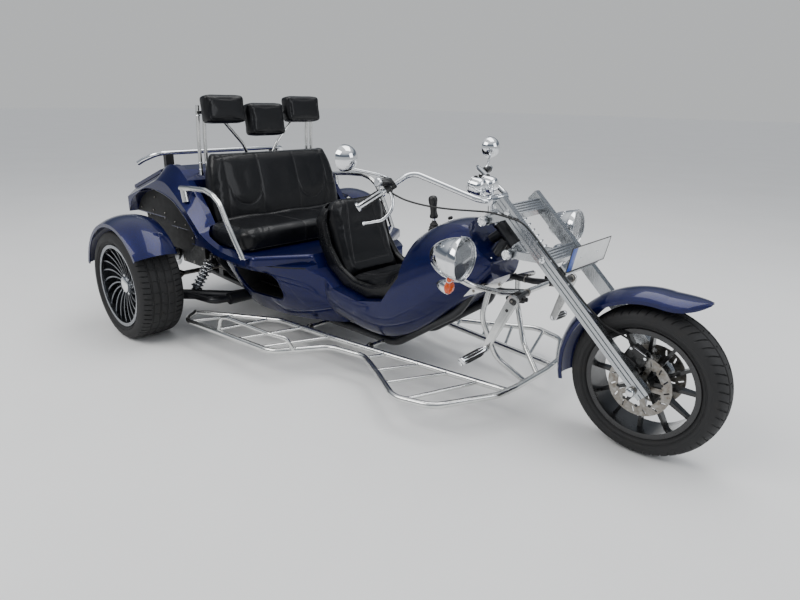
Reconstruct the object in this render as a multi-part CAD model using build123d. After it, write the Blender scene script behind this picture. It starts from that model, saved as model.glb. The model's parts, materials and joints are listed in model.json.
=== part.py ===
from build123d import *
import os
from math import cos, radians, sin, tan

# Motorized trike: two wide driven wheels behind, one steered wheel in front on a girder fork.
# Millimetres. +X is forward, +Y is left, +Z is up. The origin is on the ground, below the
# middle of the length and on the centre plane.

# Driving dimensions: wheels
WHEELBASE = 2715
REAR_X = -1200
REAR_Z = 322
REAR_TYRE_R = 322
REAR_TYRE_W = 264
REAR_RIM_R = 243
REAR_TRACK_HALF = 853
FRONT_X = REAR_X + WHEELBASE
FRONT_TYRE_R = 316
FRONT_TYRE_W = 160
FRONT_RIM_R = 231
BEAD_DROP = 14
RIM_WALL = 7
SEAT_GAP = 0.3
RUNNING_GAP = 0.05
# How far the tread drops and draws in from the full radius and width, from the side to the crown
FRONT_SHOULDER = [(52, 0), (26, 7), (9, 26), (0, 56)]
REAR_SHOULDER = [(38, 0), (12, 9), (0, 37)]
FRONT_Z = FRONT_TYRE_R
AXLE_R = 10
DISC_R = 128
DISC_SIDE = 84
DISC_T = 5

# Driving dimensions: fork, measured along the legs, ahead of them and to the side
RAKE = 47
LEG_AHEAD = 22
LEG_DEPTH = 54
LEG_WIDTH = 34
LEG_SIDE = 134
LEG_TOP = 945
LEG_FOOT = -42
STEM_AHEAD = -150
HEAD_LOW = 792
HEAD_HIGH = 914
HEAD_R = 31
STEM_R = 15
PIN_R = 12
UPPER_PIN = 948
LOWER_PIN = 758
UPPER_BAR = 880
LOWER_BAR = 626
LINK_SIDE = 84
PIN_END = 114
PLATE_BAR = 540
PLATE_T = 3
LINK_T = 14

# Driving dimensions: body, seats and boards
BOARD_TUBE = 30
RUNG_TUBE = 18
SEAM_Z = 520
TAIL_X = -1831
BODY_HALF = 600
FENDER_T = 5

RAIL_SIDE = 150
RAIL_Z = 152
# The swing arms' pivots, and the engine's and gearbox's cross members: place and height
PIVOT_X = -840
PIVOT_SIDE = 180
PIVOT_Z = 215
HOOP_X = -1040
CRADLE = [(-1600, 235), (-1420, 235), (-1110, 205)]

SIDES = (("right", -1), ("left", 1))
LOW = (Align.CENTER, Align.CENTER, Align.MIN)


def both(shape):
    """A right-hand piece with its mirror image on the left."""
    return shape + mirror(shape, Plane.XZ)


def on_side(shape, side):
    """A piece modelled on the right, moved to the left where side is 1."""
    return mirror(shape, Plane.XZ) if side > 0 else shape


def tube(points, diameter, bend=60):
    """A round tube along straight runs, joined by arcs as large as the runs allow up to bend."""
    points = [Vector(*p) for p in points]
    path = Line(*points) if len(points) == 2 else None
    if path is None:
        radii = []
        for a, b, c in zip(points, points[1:], points[2:]):
            turn = radians((b - a).get_angle(c - b))
            shorter = min((b - a).length, (c - b).length)
            radii.append(min(bend, 0.45 * shorter / tan(turn / 2)))
        path = FilletPolyline(*points, radius=radii)
    start = Plane(origin=path @ 0, z_dir=path % 0)
    return sweep(start * Circle(diameter / 2), path=path)


def rod(a, b, radius):
    """A round bar from a to b."""
    a, b = Vector(*a), Vector(*b)
    return Plane(origin=a, z_dir=b - a) * Cylinder(radius, (b - a).length, align=LOW)


def side_plate(points, y0, y1):
    """An outline in the side view, given as X and Z, from y0 to y1."""
    face = make_face(Plane.XZ * Polyline(*points, close=True))
    return Pos(0, y1, 0) * extrude(face, y1 - y0, dir=(0, -1, 0))


def spin_body(points, x, z, y=0):
    """A turned piece about the cross axis through x and z: points are radius and offset in Y."""
    plane = Plane(origin=(x, y, z), x_dir=(1, 0, 0), z_dir=(0, 0, 1))
    face = make_face(plane * Polyline(*points, close=True))
    return revolve(face, Axis((x, 0, z), (0, 1, 0)))


def along(a, b, share):
    """The point part of the way from a to b."""
    return tuple(p + (q - p) * share for p, q in zip(a, b))


# Wheels


def tyre(x, z, y, outer_r, width, rim_r, shoulder):
    """A tyre with round shoulders, seated between the rim's flanges."""
    half = width / 2
    flange = half - 12 - RIM_WALL
    right = [(rim_r - BEAD_DROP + SEAT_GAP, -flange), (rim_r + 3, -flange), (rim_r + 10, -half + 4)]
    right += [(outer_r - drop, -half + inset) for drop, inset in shoulder]
    points = right + [(r, -w) for r, w in reversed(right)]
    return spin_body(points, x, z, y)


def rim_barrel(x, z, y, width, rim_r):
    """The rim's barrel with a flange at each side that holds the tyre."""
    flange = width / 2 - 12 - RIM_WALL
    edge = flange + RIM_WALL
    seat = rim_r - BEAD_DROP
    inside = seat - RIM_WALL
    points = [
        (inside, -edge),
        (rim_r, -edge),
        (rim_r, -flange),
        (seat, -flange),
        (seat, flange),
        (rim_r, flange),
        (rim_r, edge),
        (inside, edge),
    ]
    return spin_body(points, x, z, y)


def curved_spokes(count, hub_r, rim_r, sweep_deg, half_hub, half_rim):
    """Slim spokes that lean as they run out, as an outline in the wheel's plane."""
    sketch = Sketch()
    for i in range(count):
        start = 360 * i / count

        def at(r, lean, half, sign):
            angle = radians(start + sweep_deg * lean) + sign * half / r
            return (r * cos(angle), r * sin(angle))

        middle_r = (hub_r + rim_r) / 2
        half_mid = (half_hub + half_rim) / 2
        low = ThreePointArc(
            at(hub_r, 0, half_hub, -1), at(middle_r, 0.3, half_mid, -1), at(rim_r, 1, half_rim, -1)
        )
        high = ThreePointArc(
            at(rim_r, 1, half_rim, 1), at(middle_r, 0.3, half_mid, 1), at(hub_r, 0, half_hub, 1)
        )
        sketch += make_face(low + Line(low @ 1, high @ 0) + high + Line(high @ 1, low @ 0))
    return sketch


def rear_rim(side):
    """A dished alloy wheel with twenty slim spokes near its outer face."""
    width = REAR_TYRE_W
    barrel_in = REAR_RIM_R - BEAD_DROP - RIM_WALL
    centre = side * REAR_TRACK_HALF
    plane = Plane(origin=(REAR_X, 0, REAR_Z), x_dir=(1, 0, 0), z_dir=(0, side, 0))
    spokes = plane * Pos(0, 0, REAR_TRACK_HALF) * extrude(
        curved_spokes(20, 34, barrel_in + 2, 24, 3.5, 5.5), 115
    )
    dish = [
        (20, 52),
        (60, 50),
        (barrel_in + 3, 86),
        (barrel_in + 3, 106),
        (60, 74),
        (20, 78),
    ]
    spokes = spokes & spin_body([(r, side * w) for r, w in dish], REAR_X, REAR_Z, centre)
    hub = [(0, 42), (66, 42), (66, 58), (44, 82), (0, 82)]
    hub = spin_body([(r, side * w) for r, w in hub], REAR_X, REAR_Z, centre)
    return rim_barrel(REAR_X, REAR_Z, centre, width, REAR_RIM_R) + spokes + hub


def rear_shaft(side):
    """The brake drum, stub axle and half shaft that turn with a rear wheel."""
    face = REAR_TRACK_HALF + 42
    points = [
        (0, face),
        (112, face),
        (112, face - 52),
        (24, face - 52),
        (20, face - 60),
        (20, 690),
        (44, 680),
        (44, 630),
        (30, 590),
        (14, 560),
        (14, 320),
        (30, 290),
        (44, 250),
        (44, 196),
        (0, 196),
    ]
    return spin_body([(r, side * w) for r, w in points], REAR_X, REAR_Z)


def front_rim():
    """A black alloy wheel with twelve thin straight spokes and a through hub."""
    barrel_in = FRONT_RIM_R - BEAD_DROP - RIM_WALL
    plane = Plane(origin=(FRONT_X, 0, FRONT_Z), x_dir=(1, 0, 0), z_dir=(0, 1, 0))
    reach = barrel_in + 3
    outline = make_face(Polyline((30, -9), (reach, -6), (reach, 6), (30, 9), close=True))
    spokes = Sketch() + [Rot(0, 0, 30 * i) * outline for i in range(12)]
    spokes = plane * Pos(0, 0, -30) * extrude(spokes, 60)
    taper = [(20, -26), (reach, -13), (reach, 13), (20, 26)]
    spokes = spokes & spin_body(taper, FRONT_X, FRONT_Z)
    hub = [(AXLE_R + RUNNING_GAP, -76), (30, -76), (38, -60), (38, 60), (30, 76)]
    hub = hub + [(AXLE_R + RUNNING_GAP, 76)]
    hub = spin_body(hub, FRONT_X, FRONT_Z)
    bore = rod((FRONT_X, -80, FRONT_Z), (FRONT_X, 80, FRONT_Z), AXLE_R + RUNNING_GAP)
    return rim_barrel(FRONT_X, FRONT_Z, 0, FRONT_TYRE_W, FRONT_RIM_R) + spokes + hub - bore


def brake_discs():
    """Two discs with slots through their bands and five arms to the hub."""
    plane = Plane(origin=(FRONT_X, 0, FRONT_Z), x_dir=(1, 0, 0), z_dir=(0, -1, 0))
    band = Circle(DISC_R) - Circle(DISC_R - 40)
    slots = Sketch()
    for i in range(15):
        slots += Rot(0, 0, 24 * i) * Pos(DISC_R - 20, 0) * Rot(0, 0, 25) * SlotOverall(24, 6)
    arms = Sketch()
    for i in range(5):
        arms += Rot(0, 0, 72 * i) * Pos(62, 0) * Rectangle(60, 22)
    carrier = Circle(42) - Circle(30.3)
    sketch = (band - slots) + arms + carrier
    right = plane * Pos(0, 0, DISC_SIDE - DISC_T / 2 - 6) * extrude(sketch, DISC_T)
    return both(right)


# Fork and steering

FORK_UP = Vector(-sin(radians(RAKE)), 0, cos(radians(RAKE)))
FORK_AHEAD = Vector(cos(radians(RAKE)), 0, sin(radians(RAKE)))
FORK_ORIGIN = Vector(FRONT_X, 0, FRONT_Z) + FORK_AHEAD * LEG_AHEAD
FORK = Plane(origin=FORK_ORIGIN, x_dir=FORK_AHEAD, z_dir=FORK_UP).location


def fork_box(ahead, side, up, size):
    """A block in the fork's own directions: its centre and its size ahead, to the side and up."""
    return FORK * Pos(ahead, side, up) * Box(*size)


def fork_rod(ahead, side0, side1, up, radius):
    """A cross pin in the fork's own directions."""
    pin = Cylinder(radius, side1 - side0, align=LOW)
    return FORK * Pos(ahead, side0, up) * Rot(-90, 0, 0) * pin


def fork_legs():
    """Two box section legs, each with a groove down its outer face and a boss at the axle."""
    length = LEG_TOP - LEG_FOOT
    middle = (LEG_TOP + LEG_FOOT) / 2
    leg = fork_box(0, -LEG_SIDE, middle, (LEG_DEPTH, LEG_WIDTH, length))
    for ahead in (-9, 9):
        groove = (5, 8, length - 2)
        leg -= fork_box(ahead, -LEG_SIDE - LEG_WIDTH / 2, middle, groove)
    boss_side = -LEG_SIDE - LEG_WIDTH / 2
    leg += fork_rod(-LEG_AHEAD, boss_side, boss_side + LEG_WIDTH, 0, 25)
    leg -= fork_rod(-LEG_AHEAD, boss_side - 1, boss_side + LEG_WIDTH + 1, 0, AXLE_R)
    for up in (UPPER_BAR, LOWER_BAR):
        leg -= fork_rod(0, boss_side - 1, boss_side + LEG_WIDTH + 1, up, 9)
    return both(leg)


def fork_bars():
    """Ribbed bars between the legs, the links behind them, the spring's lug and the plate's bar."""
    inner = LEG_SIDE - LEG_WIDTH / 2
    shape = fork_box(-53, 0, LOWER_BAR + 20, (64, 44, 12))
    for up, pin_up in ((UPPER_BAR, UPPER_PIN), (LOWER_BAR, LOWER_PIN)):
        bar = fork_box(0, 0, up, (44, 2 * inner, 58))
        for i in range(4):
            bar -= fork_box(22, 0, up - 21 + 14 * i, (8, 2 * inner - 16, 6))
        stub = fork_rod(0, -inner - LEG_WIDTH, inner + LEG_WIDTH, up, 9)
        shape += bar + stub + link_plate((STEM_AHEAD, pin_up), (-22, up))
    shape += fork_box(LEG_DEPTH / 2 + 12, 0, PLATE_BAR, (24, 2 * LEG_SIDE, 44))
    back = PLATE_SPOT * Pos(-PLATE_T / 2 - 4, 0, 0) * Box(8, 200, 60)
    foot = FORK_ORIGIN + FORK_UP * PLATE_BAR + FORK_AHEAD * (LEG_DEPTH / 2 + 12)
    for side in (-70, 70):
        shape += rod((foot.X, side, foot.Z), (1199, side, 770), 9)
    ahead_of_back = PLATE_SPOT * Pos(20 - PLATE_T / 2, 0, 0) * Box(40, 400, 200)
    return shape + back - ahead_of_back


def link_plate(rear, front):
    """A pair of links, each a plate with round ends around its cross pins."""
    a, b = Vector(rear[0], 0, rear[1]), Vector(front[0], 0, front[1])
    run = b - a
    face = Plane(origin=a, x_dir=run, z_dir=(0, -1, 0))
    sketch = Pos(run.length / 2, 0) * Rectangle(run.length, 34) + Circle(20)
    plate = extrude(face * sketch, LINK_T / 2, both=True)
    hole = face * Pos(0, 0, -20) * Cylinder(PIN_R + RUNNING_GAP, 40, align=LOW)
    plate = plate - hole
    return FORK * (Pos(0, -LINK_SIDE, 0) * plate + Pos(0, LINK_SIDE, 0) * plate)


def fork_yokes():
    """Upper and lower yokes on the steering stem, with the pins that carry the links."""
    shape = FORK * Pos(STEM_AHEAD, 0, 732) * Cylinder(STEM_R, 240, align=LOW)
    for up, low, high in ((UPPER_PIN, HEAD_HIGH + 2, 976), (LOWER_PIN, 730, HEAD_LOW - 2)):
        shape += FORK * Pos(STEM_AHEAD, 0, low) * Cylinder(34, high - low, align=LOW)
        boss = LINK_SIDE - LINK_T / 2 - 1
        shape += fork_rod(STEM_AHEAD, -boss, boss, up, 22)
        shape += fork_rod(STEM_AHEAD, -PIN_END, PIN_END, up, PIN_R)
        for sign in (-1, 1):
            shape += fork_rod(STEM_AHEAD, sign * 106 - 6, sign * 106 + 6, up, 20)
    shape += fork_box(-100, 0, 935, (90, 40, 26))
    return shape + fork_box(-138, 0, 968, (56, 128, 16))


def front_spring():
    """The coil spring on its damper, between the upper yoke and the lower bar."""
    ahead, low, high = -58, LOWER_BAR + 26, 922
    body = FORK * Pos(ahead, 0, low) * Cylinder(13, high - low, align=LOW)
    for up, height in ((low, 12), (high - 12, 12)):
        body += FORK * Pos(ahead, 0, up) * Cylinder(33, height, align=LOW)
    coil_path = Helix(pitch=27, height=high - low - 30, radius=27, cone_angle=0)
    start = Plane(origin=coil_path @ 0, z_dir=coil_path % 0)
    coil = sweep(start * Circle(5), path=coil_path)
    return body + FORK * Pos(ahead, 0, low + 15) * coil


BAR_CENTRE = (730, 0, 955)
BAR_BEND = (724, -105, 955)
BAR_KNEE = (424, -245, 1068)
BAR_PERCH = (395, -350, 1012)
GRIP_START = (373, -382, 987)
GRIP_END = (305, -478, 915)
BAR_GRIP_INSIDE = along(GRIP_START, GRIP_END, 0.96)


def handlebar():
    """A pullback bar of one bent tube, and the two risers that clamp it to the upper yoke."""
    right = [BAR_GRIP_INSIDE, BAR_PERCH, BAR_KNEE, BAR_BEND]
    left = [(x, -y, z) for x, y, z in reversed(right)]
    bar = tube(right + left, 25, bend=70)
    foot = FORK_ORIGIN + FORK_AHEAD * (STEM_AHEAD + 16) + FORK_UP * 966
    riser = None
    for side in (-45, 45):
        top = Vector(BAR_CENTRE[0], side, BAR_CENTRE[2])
        base = Vector(foot.X, side, foot.Z)
        post = rod(base, top, 15)
        clamp = rod((top.X, side - 20, top.Z), (top.X, side + 20, top.Z), 22)
        riser = post + clamp if riser is None else riser + post + clamp
    return bar + riser


def grips():
    """Hand grips slipped over the bar's ends."""
    a, b = Vector(*GRIP_START), Vector(*GRIP_END)
    direction = (b - a).normalized()
    grip = rod(a, b, 19) + rod(b - direction * 10, b, 23) + rod(a, a + direction * 10, 23)
    grip -= rod(a - direction, Vector(*BAR_GRIP_INSIDE), 12.5)
    return both(grip)


def hand_levers():
    """The clamps beside the grips, each with a curved lever and a fluid reservoir."""
    middle = Vector(*along(BAR_PERCH, GRIP_START, 0.45))
    direction = (Vector(*GRIP_END) - Vector(*GRIP_START)).normalized()
    clamp = rod(middle - direction * 16, middle + direction * 12, 24)
    clamp -= rod(middle - direction * 40, middle + direction * 40, 12.5)
    lever = tube(
        [
            middle + Vector(20, 0, -14),
            middle + Vector(48, -12, -60),
            middle + Vector(40, -46, -118),
            middle + Vector(2, -84, -140),
            middle + Vector(-38, -112, -150),
        ],
        12,
        bend=60,
    )
    reservoir = rod(middle + Vector(14, 6, 30), middle + Vector(-6, -76, 34), 19)
    arm = rod(middle + Vector(6, -4, 8), middle + Vector(10, -8, 30), 10)
    return both(clamp + lever + reservoir + arm)


def mirrors():
    """Teardrop mirrors on bent stems that rise from the clamps."""
    centre = (292, -541, 1138)
    perch = Vector(*along(BAR_PERCH, GRIP_START, 0.2))
    route = [perch + Vector(0, 0, 10), (395, -380, 1062), (345, -470, 1085), (312, -541, 1112)]
    stem = tube(route, 9, bend=30)
    head = Pos(*centre) * Rot(0, 0, 8) * Rot(0, 90, 0) * teardrop(58, 60)
    return both(stem + head)


def teardrop(radius, depth):
    """A round shell shape with a flat face at its back and a blunt nose along +Z."""
    outline = [(0, -4), (radius, -4), (radius, 6)]
    curve = Spline((radius, 6), (radius * 0.78, depth * 0.55), (0, depth), tangents=((0, 1), (-1, 0)))
    face = make_face(Plane.XZ * (Polyline(*outline) + curve + Line((0, depth), (0, -4))))
    return revolve(face, Axis.Z)


def gauges():
    """Two round instruments in deep cups, nearly level, above the bar's clamps."""
    cup = Pos(652, -46, 1010) * Rot(0, 98, 0) * Cylinder(41, 64)
    stalk = rod((676, -28, 985), (716, -28, 960), 9)
    return both(cup + stalk)


FENDER_CROWN = 388
FENDER_HALF = 93
FENDER_DROP = 52
FENDER_FRONT = 82
FENDER_REAR = 193
FENDER_TIP = [
    # crown ahead of the axle, crown above the axle, tilt in degrees, half width, drop of the sides
    (128, 383, 80, 84, 48),
    (196, 376, 78, 12, 12),
]


def fender_section(ahead, above, tilt, half, drop):
    """The fender's thin arched section, its crown at a point ahead of and above the axle."""
    lean = radians(tilt)
    plane = Plane(
        origin=(FRONT_X + ahead, 0, FRONT_Z + above),
        x_dir=(cos(lean), 0, sin(lean)),
        z_dir=(-sin(lean), 0, cos(lean)),
    )
    wall = min(FENDER_T, drop / 3)
    turn = -drop * 0.72
    outer = ThreePointArc((turn, -half), (0, 0), (turn, half))
    left = Polyline((turn, half), (-drop, half), (-drop, half - wall), (turn, half - wall))
    inner = ThreePointArc((turn, half - wall), (-wall, 0), (turn, -half + wall))
    right = Polyline((turn, -half + wall), (-drop, -half + wall), (-drop, -half), (turn, -half))
    return plane * make_face(outer + left + inner + right)


def front_fender():
    """A fender that follows the tyre, with turned-down sides and a flared point in front."""
    lean = radians(FENDER_FRONT)
    start = (FENDER_CROWN * cos(lean), FENDER_CROWN * sin(lean), FENDER_FRONT)
    first = fender_section(*start, FENDER_HALF, FENDER_DROP)
    axis = Axis((FRONT_X, 0, FRONT_Z), (0, -1, 0))
    arc = revolve(first, axis, revolution_arc=FENDER_REAR - FENDER_FRONT)
    tip = loft([first] + [fender_section(*row) for row in FENDER_TIP])
    return arc + tip + fender_stays(FENDER_HALF)


def fender_stays(half):
    """Brackets from the fender's sides to the legs."""
    inner = LEG_SIDE - LEG_WIDTH / 2
    width = inner - half + 3
    middle = inner - width / 2
    return both(fork_box(-4, -middle, 356, (36, width, 36)))


def front_axle():
    """The axle through the legs and the hub, with its nuts."""
    end = LEG_SIDE + LEG_WIDTH / 2
    axle = rod((FRONT_X, -end - 22, FRONT_Z), (FRONT_X, end + 22, FRONT_Z), AXLE_R)
    nut = rod((FRONT_X, -end - 14, FRONT_Z), (FRONT_X, -end, FRONT_Z), 17)
    return axle + both(nut)


def front_caliper():
    """The brake caliper over the right-hand disc, on a bracket from the leg."""
    slot = DISC_T + 12
    disc_y = -(DISC_SIDE - 6)
    block = Pos(1492, disc_y - 2, 440) * Rot(0, 25, 0) * Box(88, 44, 74)
    gap = rod((FRONT_X, disc_y - slot / 2, FRONT_Z), (FRONT_X, disc_y + slot / 2, FRONT_Z), DISC_R + 8)
    block -= gap
    bracket = Pos(1448, -107.5, 420) * Rot(0, 20, 0) * Box(110, 19, 40)
    return block + bracket


PLATE_SPOT = Pos(1204, 0, 785) * Rot(0, 12, 0)


def number_plate():
    """The blank plate in front of the legs."""
    return PLATE_SPOT * Box(PLATE_T, 340, 110)


# The brake hose's route: ahead of the legs, to the side and up along them
HOSE_ON_LEG = [
    (-34, -163, 902),
    (-2, -160, 856),
    (34, -158, 806),
    (34, -143, 748),
    (33, -142, 668),
    (34, -143, 588),
    (33, -142, 508),
    (34, -143, 428),
    (36, -138, 366),
    (34, -122, 314),
    (24, -104, 272),
]
HOSE_FREE = [
    (402, -370, 990),
    (448, -356, 966),
    (512, -330, 948),
    (588, -296, 936),
    (668, -258, 931),
    (744, -216, 930),
    (806, -184, 930),
]
HOSE_END = [(1436, -92, 508), (1470, -84, 486), (1490, -80, 462)]


def brake_hose():
    """The hose from the right-hand reservoir, down the right leg to the caliper."""
    on_leg = [FORK_ORIGIN + FORK_AHEAD * a + FORK_UP * u + Vector(0, y, 0) for a, y, u in HOSE_ON_LEG]
    return tube(HOSE_FREE + [tuple(p) for p in on_leg] + HOSE_END, 8, bend=400)


# Chassis


def main_frame():
    """The head tube, the rails under the body, their cross members and the rear hoop."""
    head = FORK * Pos(STEM_AHEAD, 0, HEAD_LOW) * Cylinder(HEAD_R, HEAD_HIGH - HEAD_LOW, align=LOW)
    upper = FORK_ORIGIN + FORK_UP * (HEAD_HIGH - 34) + FORK_AHEAD * (STEM_AHEAD - 10)
    frame = head + both(rail_tube()) + rod((upper.X, 0, upper.Z), (upper.X - 170, 0, upper.Z - 130), 24)
    for x in (-860, -300, 200):
        frame += rod((x, -RAIL_SIDE, RAIL_Z), (x, RAIL_SIDE, RAIL_Z), 16)
    for x, top in CRADLE:
        frame += Pos(x, 0, top - 30) * Box(50, 2 * RAIL_SIDE + 40, 60)
    frame += rod((PIVOT_X, -PIVOT_SIDE, PIVOT_Z), (PIVOT_X, PIVOT_SIDE, PIVOT_Z), 26)
    frame += both(Pos(PIVOT_X, -RAIL_SIDE, (PIVOT_Z + RAIL_Z) / 2) * Box(60, 14, PIVOT_Z - RAIL_Z))
    hoop = [(-150, 162), (-310, 300), (-430, 450), (-300, 500), (0, 500)]
    frame += both(tube([(HOOP_X, y, z) for y, z in hoop], 34, bend=90))
    frame += Pos(HOOP_X, 0, SEAM_Z - 12) * Box(60, 520, 24)
    arm = tube([(690, -94, 548), (730, -120, 574), (880, -120, 574), (976, -112, 589)], 30, bend=60)
    frame += both(arm)
    bore = Cylinder(STEM_R + RUNNING_GAP, 200, align=LOW)
    return frame - FORK * Pos(STEM_AHEAD, 0, HEAD_LOW - 1) * bore


def rail_tube():
    """One frame rail, from below the engine to the lower end of the head tube."""
    lower = FORK_ORIGIN + FORK_UP * (HEAD_LOW + 48) + FORK_AHEAD * (STEM_AHEAD - 22)
    points = [
        (-1640, -RAIL_SIDE, 190),
        (-900, -RAIL_SIDE, RAIL_Z),
        (250, -RAIL_SIDE, RAIL_Z),
        (640, -128, 420),
        (lower.X, -16, lower.Z),
    ]
    return tube(points, 44, bend=160)


# Body

# The nose's sections: place, then height and half width of the floor, the waist and the top
NOSE_SECTIONS = [
    (-200, 190, 196, 400, 285, 520, 262),
    (120, 184, 185, 450, 292, 560, 200),
    (340, 228, 178, 520, 285, 712, 130),
    (520, 352, 168, 590, 262, 824, 118),
    (680, 490, 140, 650, 205, 826, 96),
    (800, 606, 90, 700, 120, 792, 70),
]
NOSE_CROWN = 16
NOSE_ROUND = 36
# The tub's plan under the bench: height, then half widths at its rear, its shoulder and its front
TUB_PLANS = [
    (186, 330, 352, 176),
    (350, 440, 462, 262),
    (SEAM_Z, 528, 545, 236),
]
TUB_PLAN_X = (-800, -530, -90)
SEAT_BACK_LINE = [
    (-262, 838),
    (-290, 740),
    (-268, 620),
    (-190, 500),
    (-70, 418),
    (110, 388),
    (280, 422),
    (372, 560),
]
SEAT_RIM_LINE = [
    (-205, 850),
    (-215, 740),
    (-175, 620),
    (-95, 520),
    (20, 466),
    (150, 462),
    (270, 505),
    (340, 585),
]
SEAT_HALF = 238
SEAT_WALL = 34
SEAT_BASE = 26


def tub_section(x, floor_z, floor_half, waist_z, waist_half, top_z, top_half):
    """A section with a flat floor, bulging flanks that are widest at the waist, and a crowned top."""
    floor = Line((-floor_half, floor_z), (floor_half, floor_z))
    left = ThreePointArc(floor @ 1, (waist_half, waist_z), (top_half, top_z))
    top = ThreePointArc(left @ 1, (0, top_z + NOSE_CROWN), (-top_half, top_z))
    right = ThreePointArc(top @ 1, (-waist_half, waist_z), floor @ 0)
    plane = Plane(origin=(x, 0, 0), x_dir=(0, 1, 0), z_dir=(1, 0, 0))
    face = make_face(floor + left + top + right)
    return plane * fillet(face.vertices(), NOSE_ROUND)


def seat_space():
    """The room above the driver's seat, through the whole width of the body."""
    return side_plate(SEAT_BACK_LINE + [(372, 900), (-262, 900)], -BODY_HALF, BODY_HALF)


def body_tub():
    """The moulded lower body, from the nose under the fork's head to the bench."""
    tub = loft([tub_section(*row) for row in NOSE_SECTIONS])
    plans = []
    for z, *halves in TUB_PLANS:
        right = ThreePointArc(*[(x, -y) for x, y in zip(TUB_PLAN_X, halves)])
        left = mirror(right, Plane.XZ)
        ends = Line(right @ 0, left @ 0) + Line(right @ 1, left @ 1)
        plan = make_face(right + left + ends)
        plans.append(Pos(0, 0, z) * fillet(plan.vertices(), 50))
    tub += loft(plans)
    tub -= seat_space()
    pocket = Pos(-520, -460, 385) * Box(330, 340, 170)
    pocket = fillet(pocket.edges().filter_by(Axis.Y), 60)
    tub -= both(pocket)
    tunnel = Pos(-700, 0, 240) * Box(1100, 2 * RAIL_SIDE + 60, 240)
    keel = Pos(0, 0, 150) * Box(2400, 2 * RAIL_SIDE + 52, 60)
    steering_room = fork_box(STEM_AHEAD - 84 + 300, 0, 800, (600, 700, 1100))
    return tub - tunnel - keel - steering_room


BODY_LINE = [
    (-1790, 640),
    (-1790, 788),
    (-1400, 922),
    (-1250, 978),
    (-1160, 960),
    (-1085, 905),
    (-1046, 572),
    (-440, 572),
    (-440, SEAM_Z),
    (-1100, SEAM_Z),
    (-1130, 600),
    (-1330, 600),
    (-1400, 640),
]
BOOT_HALF = 500
BOOT_SPACE = [(-1772, 660), (-1350, 660), (-1350, 1100), (-1772, 1100)]
CREST_HALF = 540
WING_INSIDE = 500
# The wing's edges in the side view, as the ends and middles of arcs from its rear to its tip
WING_LOWER = [
    (-1790, 640),
    (-1640, 778),
    (-1375, 822),
    (-1120, 752),
    (-915, 588),
    (-790, 540),
    (-600, SEAM_Z),
]
WING_CREST = [
    (-1400, 922),
    (-1272, 984),
    (-1160, 960),
    (-1012, 834),
    (-877, 672),
    (-700, 596),
    (-430, 572),
]
WING_SHOULDER = [
    (-1400, 872),
    (-1290, 886),
    (-1190, 850),
    (-1040, 748),
    (-890, 628),
    (-700, 564),
    (-430, 556),
]
# The right-hand half of the apron under the bench's front edge, in plan, from its middle outwards
APRON = [(-150, 0), (-150, -262), (-240, -320), (-400, -574), (-500, -596), (-500, 0)]
APRON_T = 52
APRON_ROUND = 22


def wing_outline(side, rear_top, crest):
    """The wing's outline at a distance from the centre plane, below its crest line there."""
    low = WING_LOWER
    edges = ThreePointArc(*low[0:3]) + ThreePointArc(*low[2:5]) + ThreePointArc(*low[4:7])
    edges += Polyline(low[6], (-440, SEAM_Z), crest[6])
    edges += ThreePointArc(crest[6], crest[5], crest[4]) + ThreePointArc(crest[4], crest[3], crest[2])
    edges += ThreePointArc(crest[2], crest[1], crest[0])
    edges += Polyline(crest[0], (-1790, rear_top), low[0])
    return Pos(0, side, 0) * make_face(Plane.XZ * edges)


def wing():
    """The right-hand wing beside the bench: a band that slants out from its crest."""
    crest = wing_outline(-CREST_HALF, 788, WING_CREST)
    band = loft([crest, wing_outline(-BODY_HALF, 738, WING_SHOULDER)], ruled=True)
    return band + extrude(crest, CREST_HALF - WING_INSIDE, dir=(0, 1, 0))


def body_rear():
    """The upper body: the bench's base, the wings beside it and the boot behind it."""
    shape = side_plate(BODY_LINE, -CREST_HALF, CREST_HALF) + both(wing())
    shape += both(apron()) - seat_space()
    shape -= side_plate(BOOT_SPACE, -BOOT_HALF, BOOT_HALF)
    for side in HINGE_SIDES:
        shape += hinge_leaf(HINGE_ON_BODY, side - HINGE_EYE, side + HINGE_EYE)
        shape += hinge_rod(side - HINGE_HALF, side + HINGE_HALF, HINGE_PIN_R)
    return shape


def apron():
    """The right-hand half of the rolled band under the bench's front edge."""
    face = make_face(Polyline(*APRON, close=True))
    corners = [v for v in face.vertices() if v.Y < -1 and v.X > -499]
    plate = extrude(Pos(0, 0, SEAM_Z) * fillet(corners, 30), APRON_T)
    rim = [e for e in plate.faces().sort_by(Axis.Z)[-1].edges() if e.center().Y < -1 and e.center().X > -499]
    return fillet(rim, APRON_ROUND)


# The boot lid's two hinges: their axis, the pins and eyes on it, and the leaves in the side view
LID_HINGE = (-1396, 936)
HINGE_SIDES = (-300, 300)
HINGE_HALF = 45
HINGE_EYE = 14
HINGE_R = 8
HINGE_PIN_R = 4
HINGE_ON_BODY = [(-1396, 930), (-1392, 942), (-1350, 947), (-1350, 936)]
HINGE_ON_LID = [(-1399, 938), (-1398, 946), (-1445, 934), (-1445, 928)]


def hinge_rod(y0, y1, radius):
    """A round piece on the boot lid's hinge axis."""
    x, z = LID_HINGE
    return rod((x, y0, z), (x, y1, z), radius)


def hinge_leaf(outline, y0, y1):
    """A leaf of a hinge with the eye that goes round its pin."""
    return side_plate(outline, y0, y1) + hinge_rod(y0, y1, HINGE_R)


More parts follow.
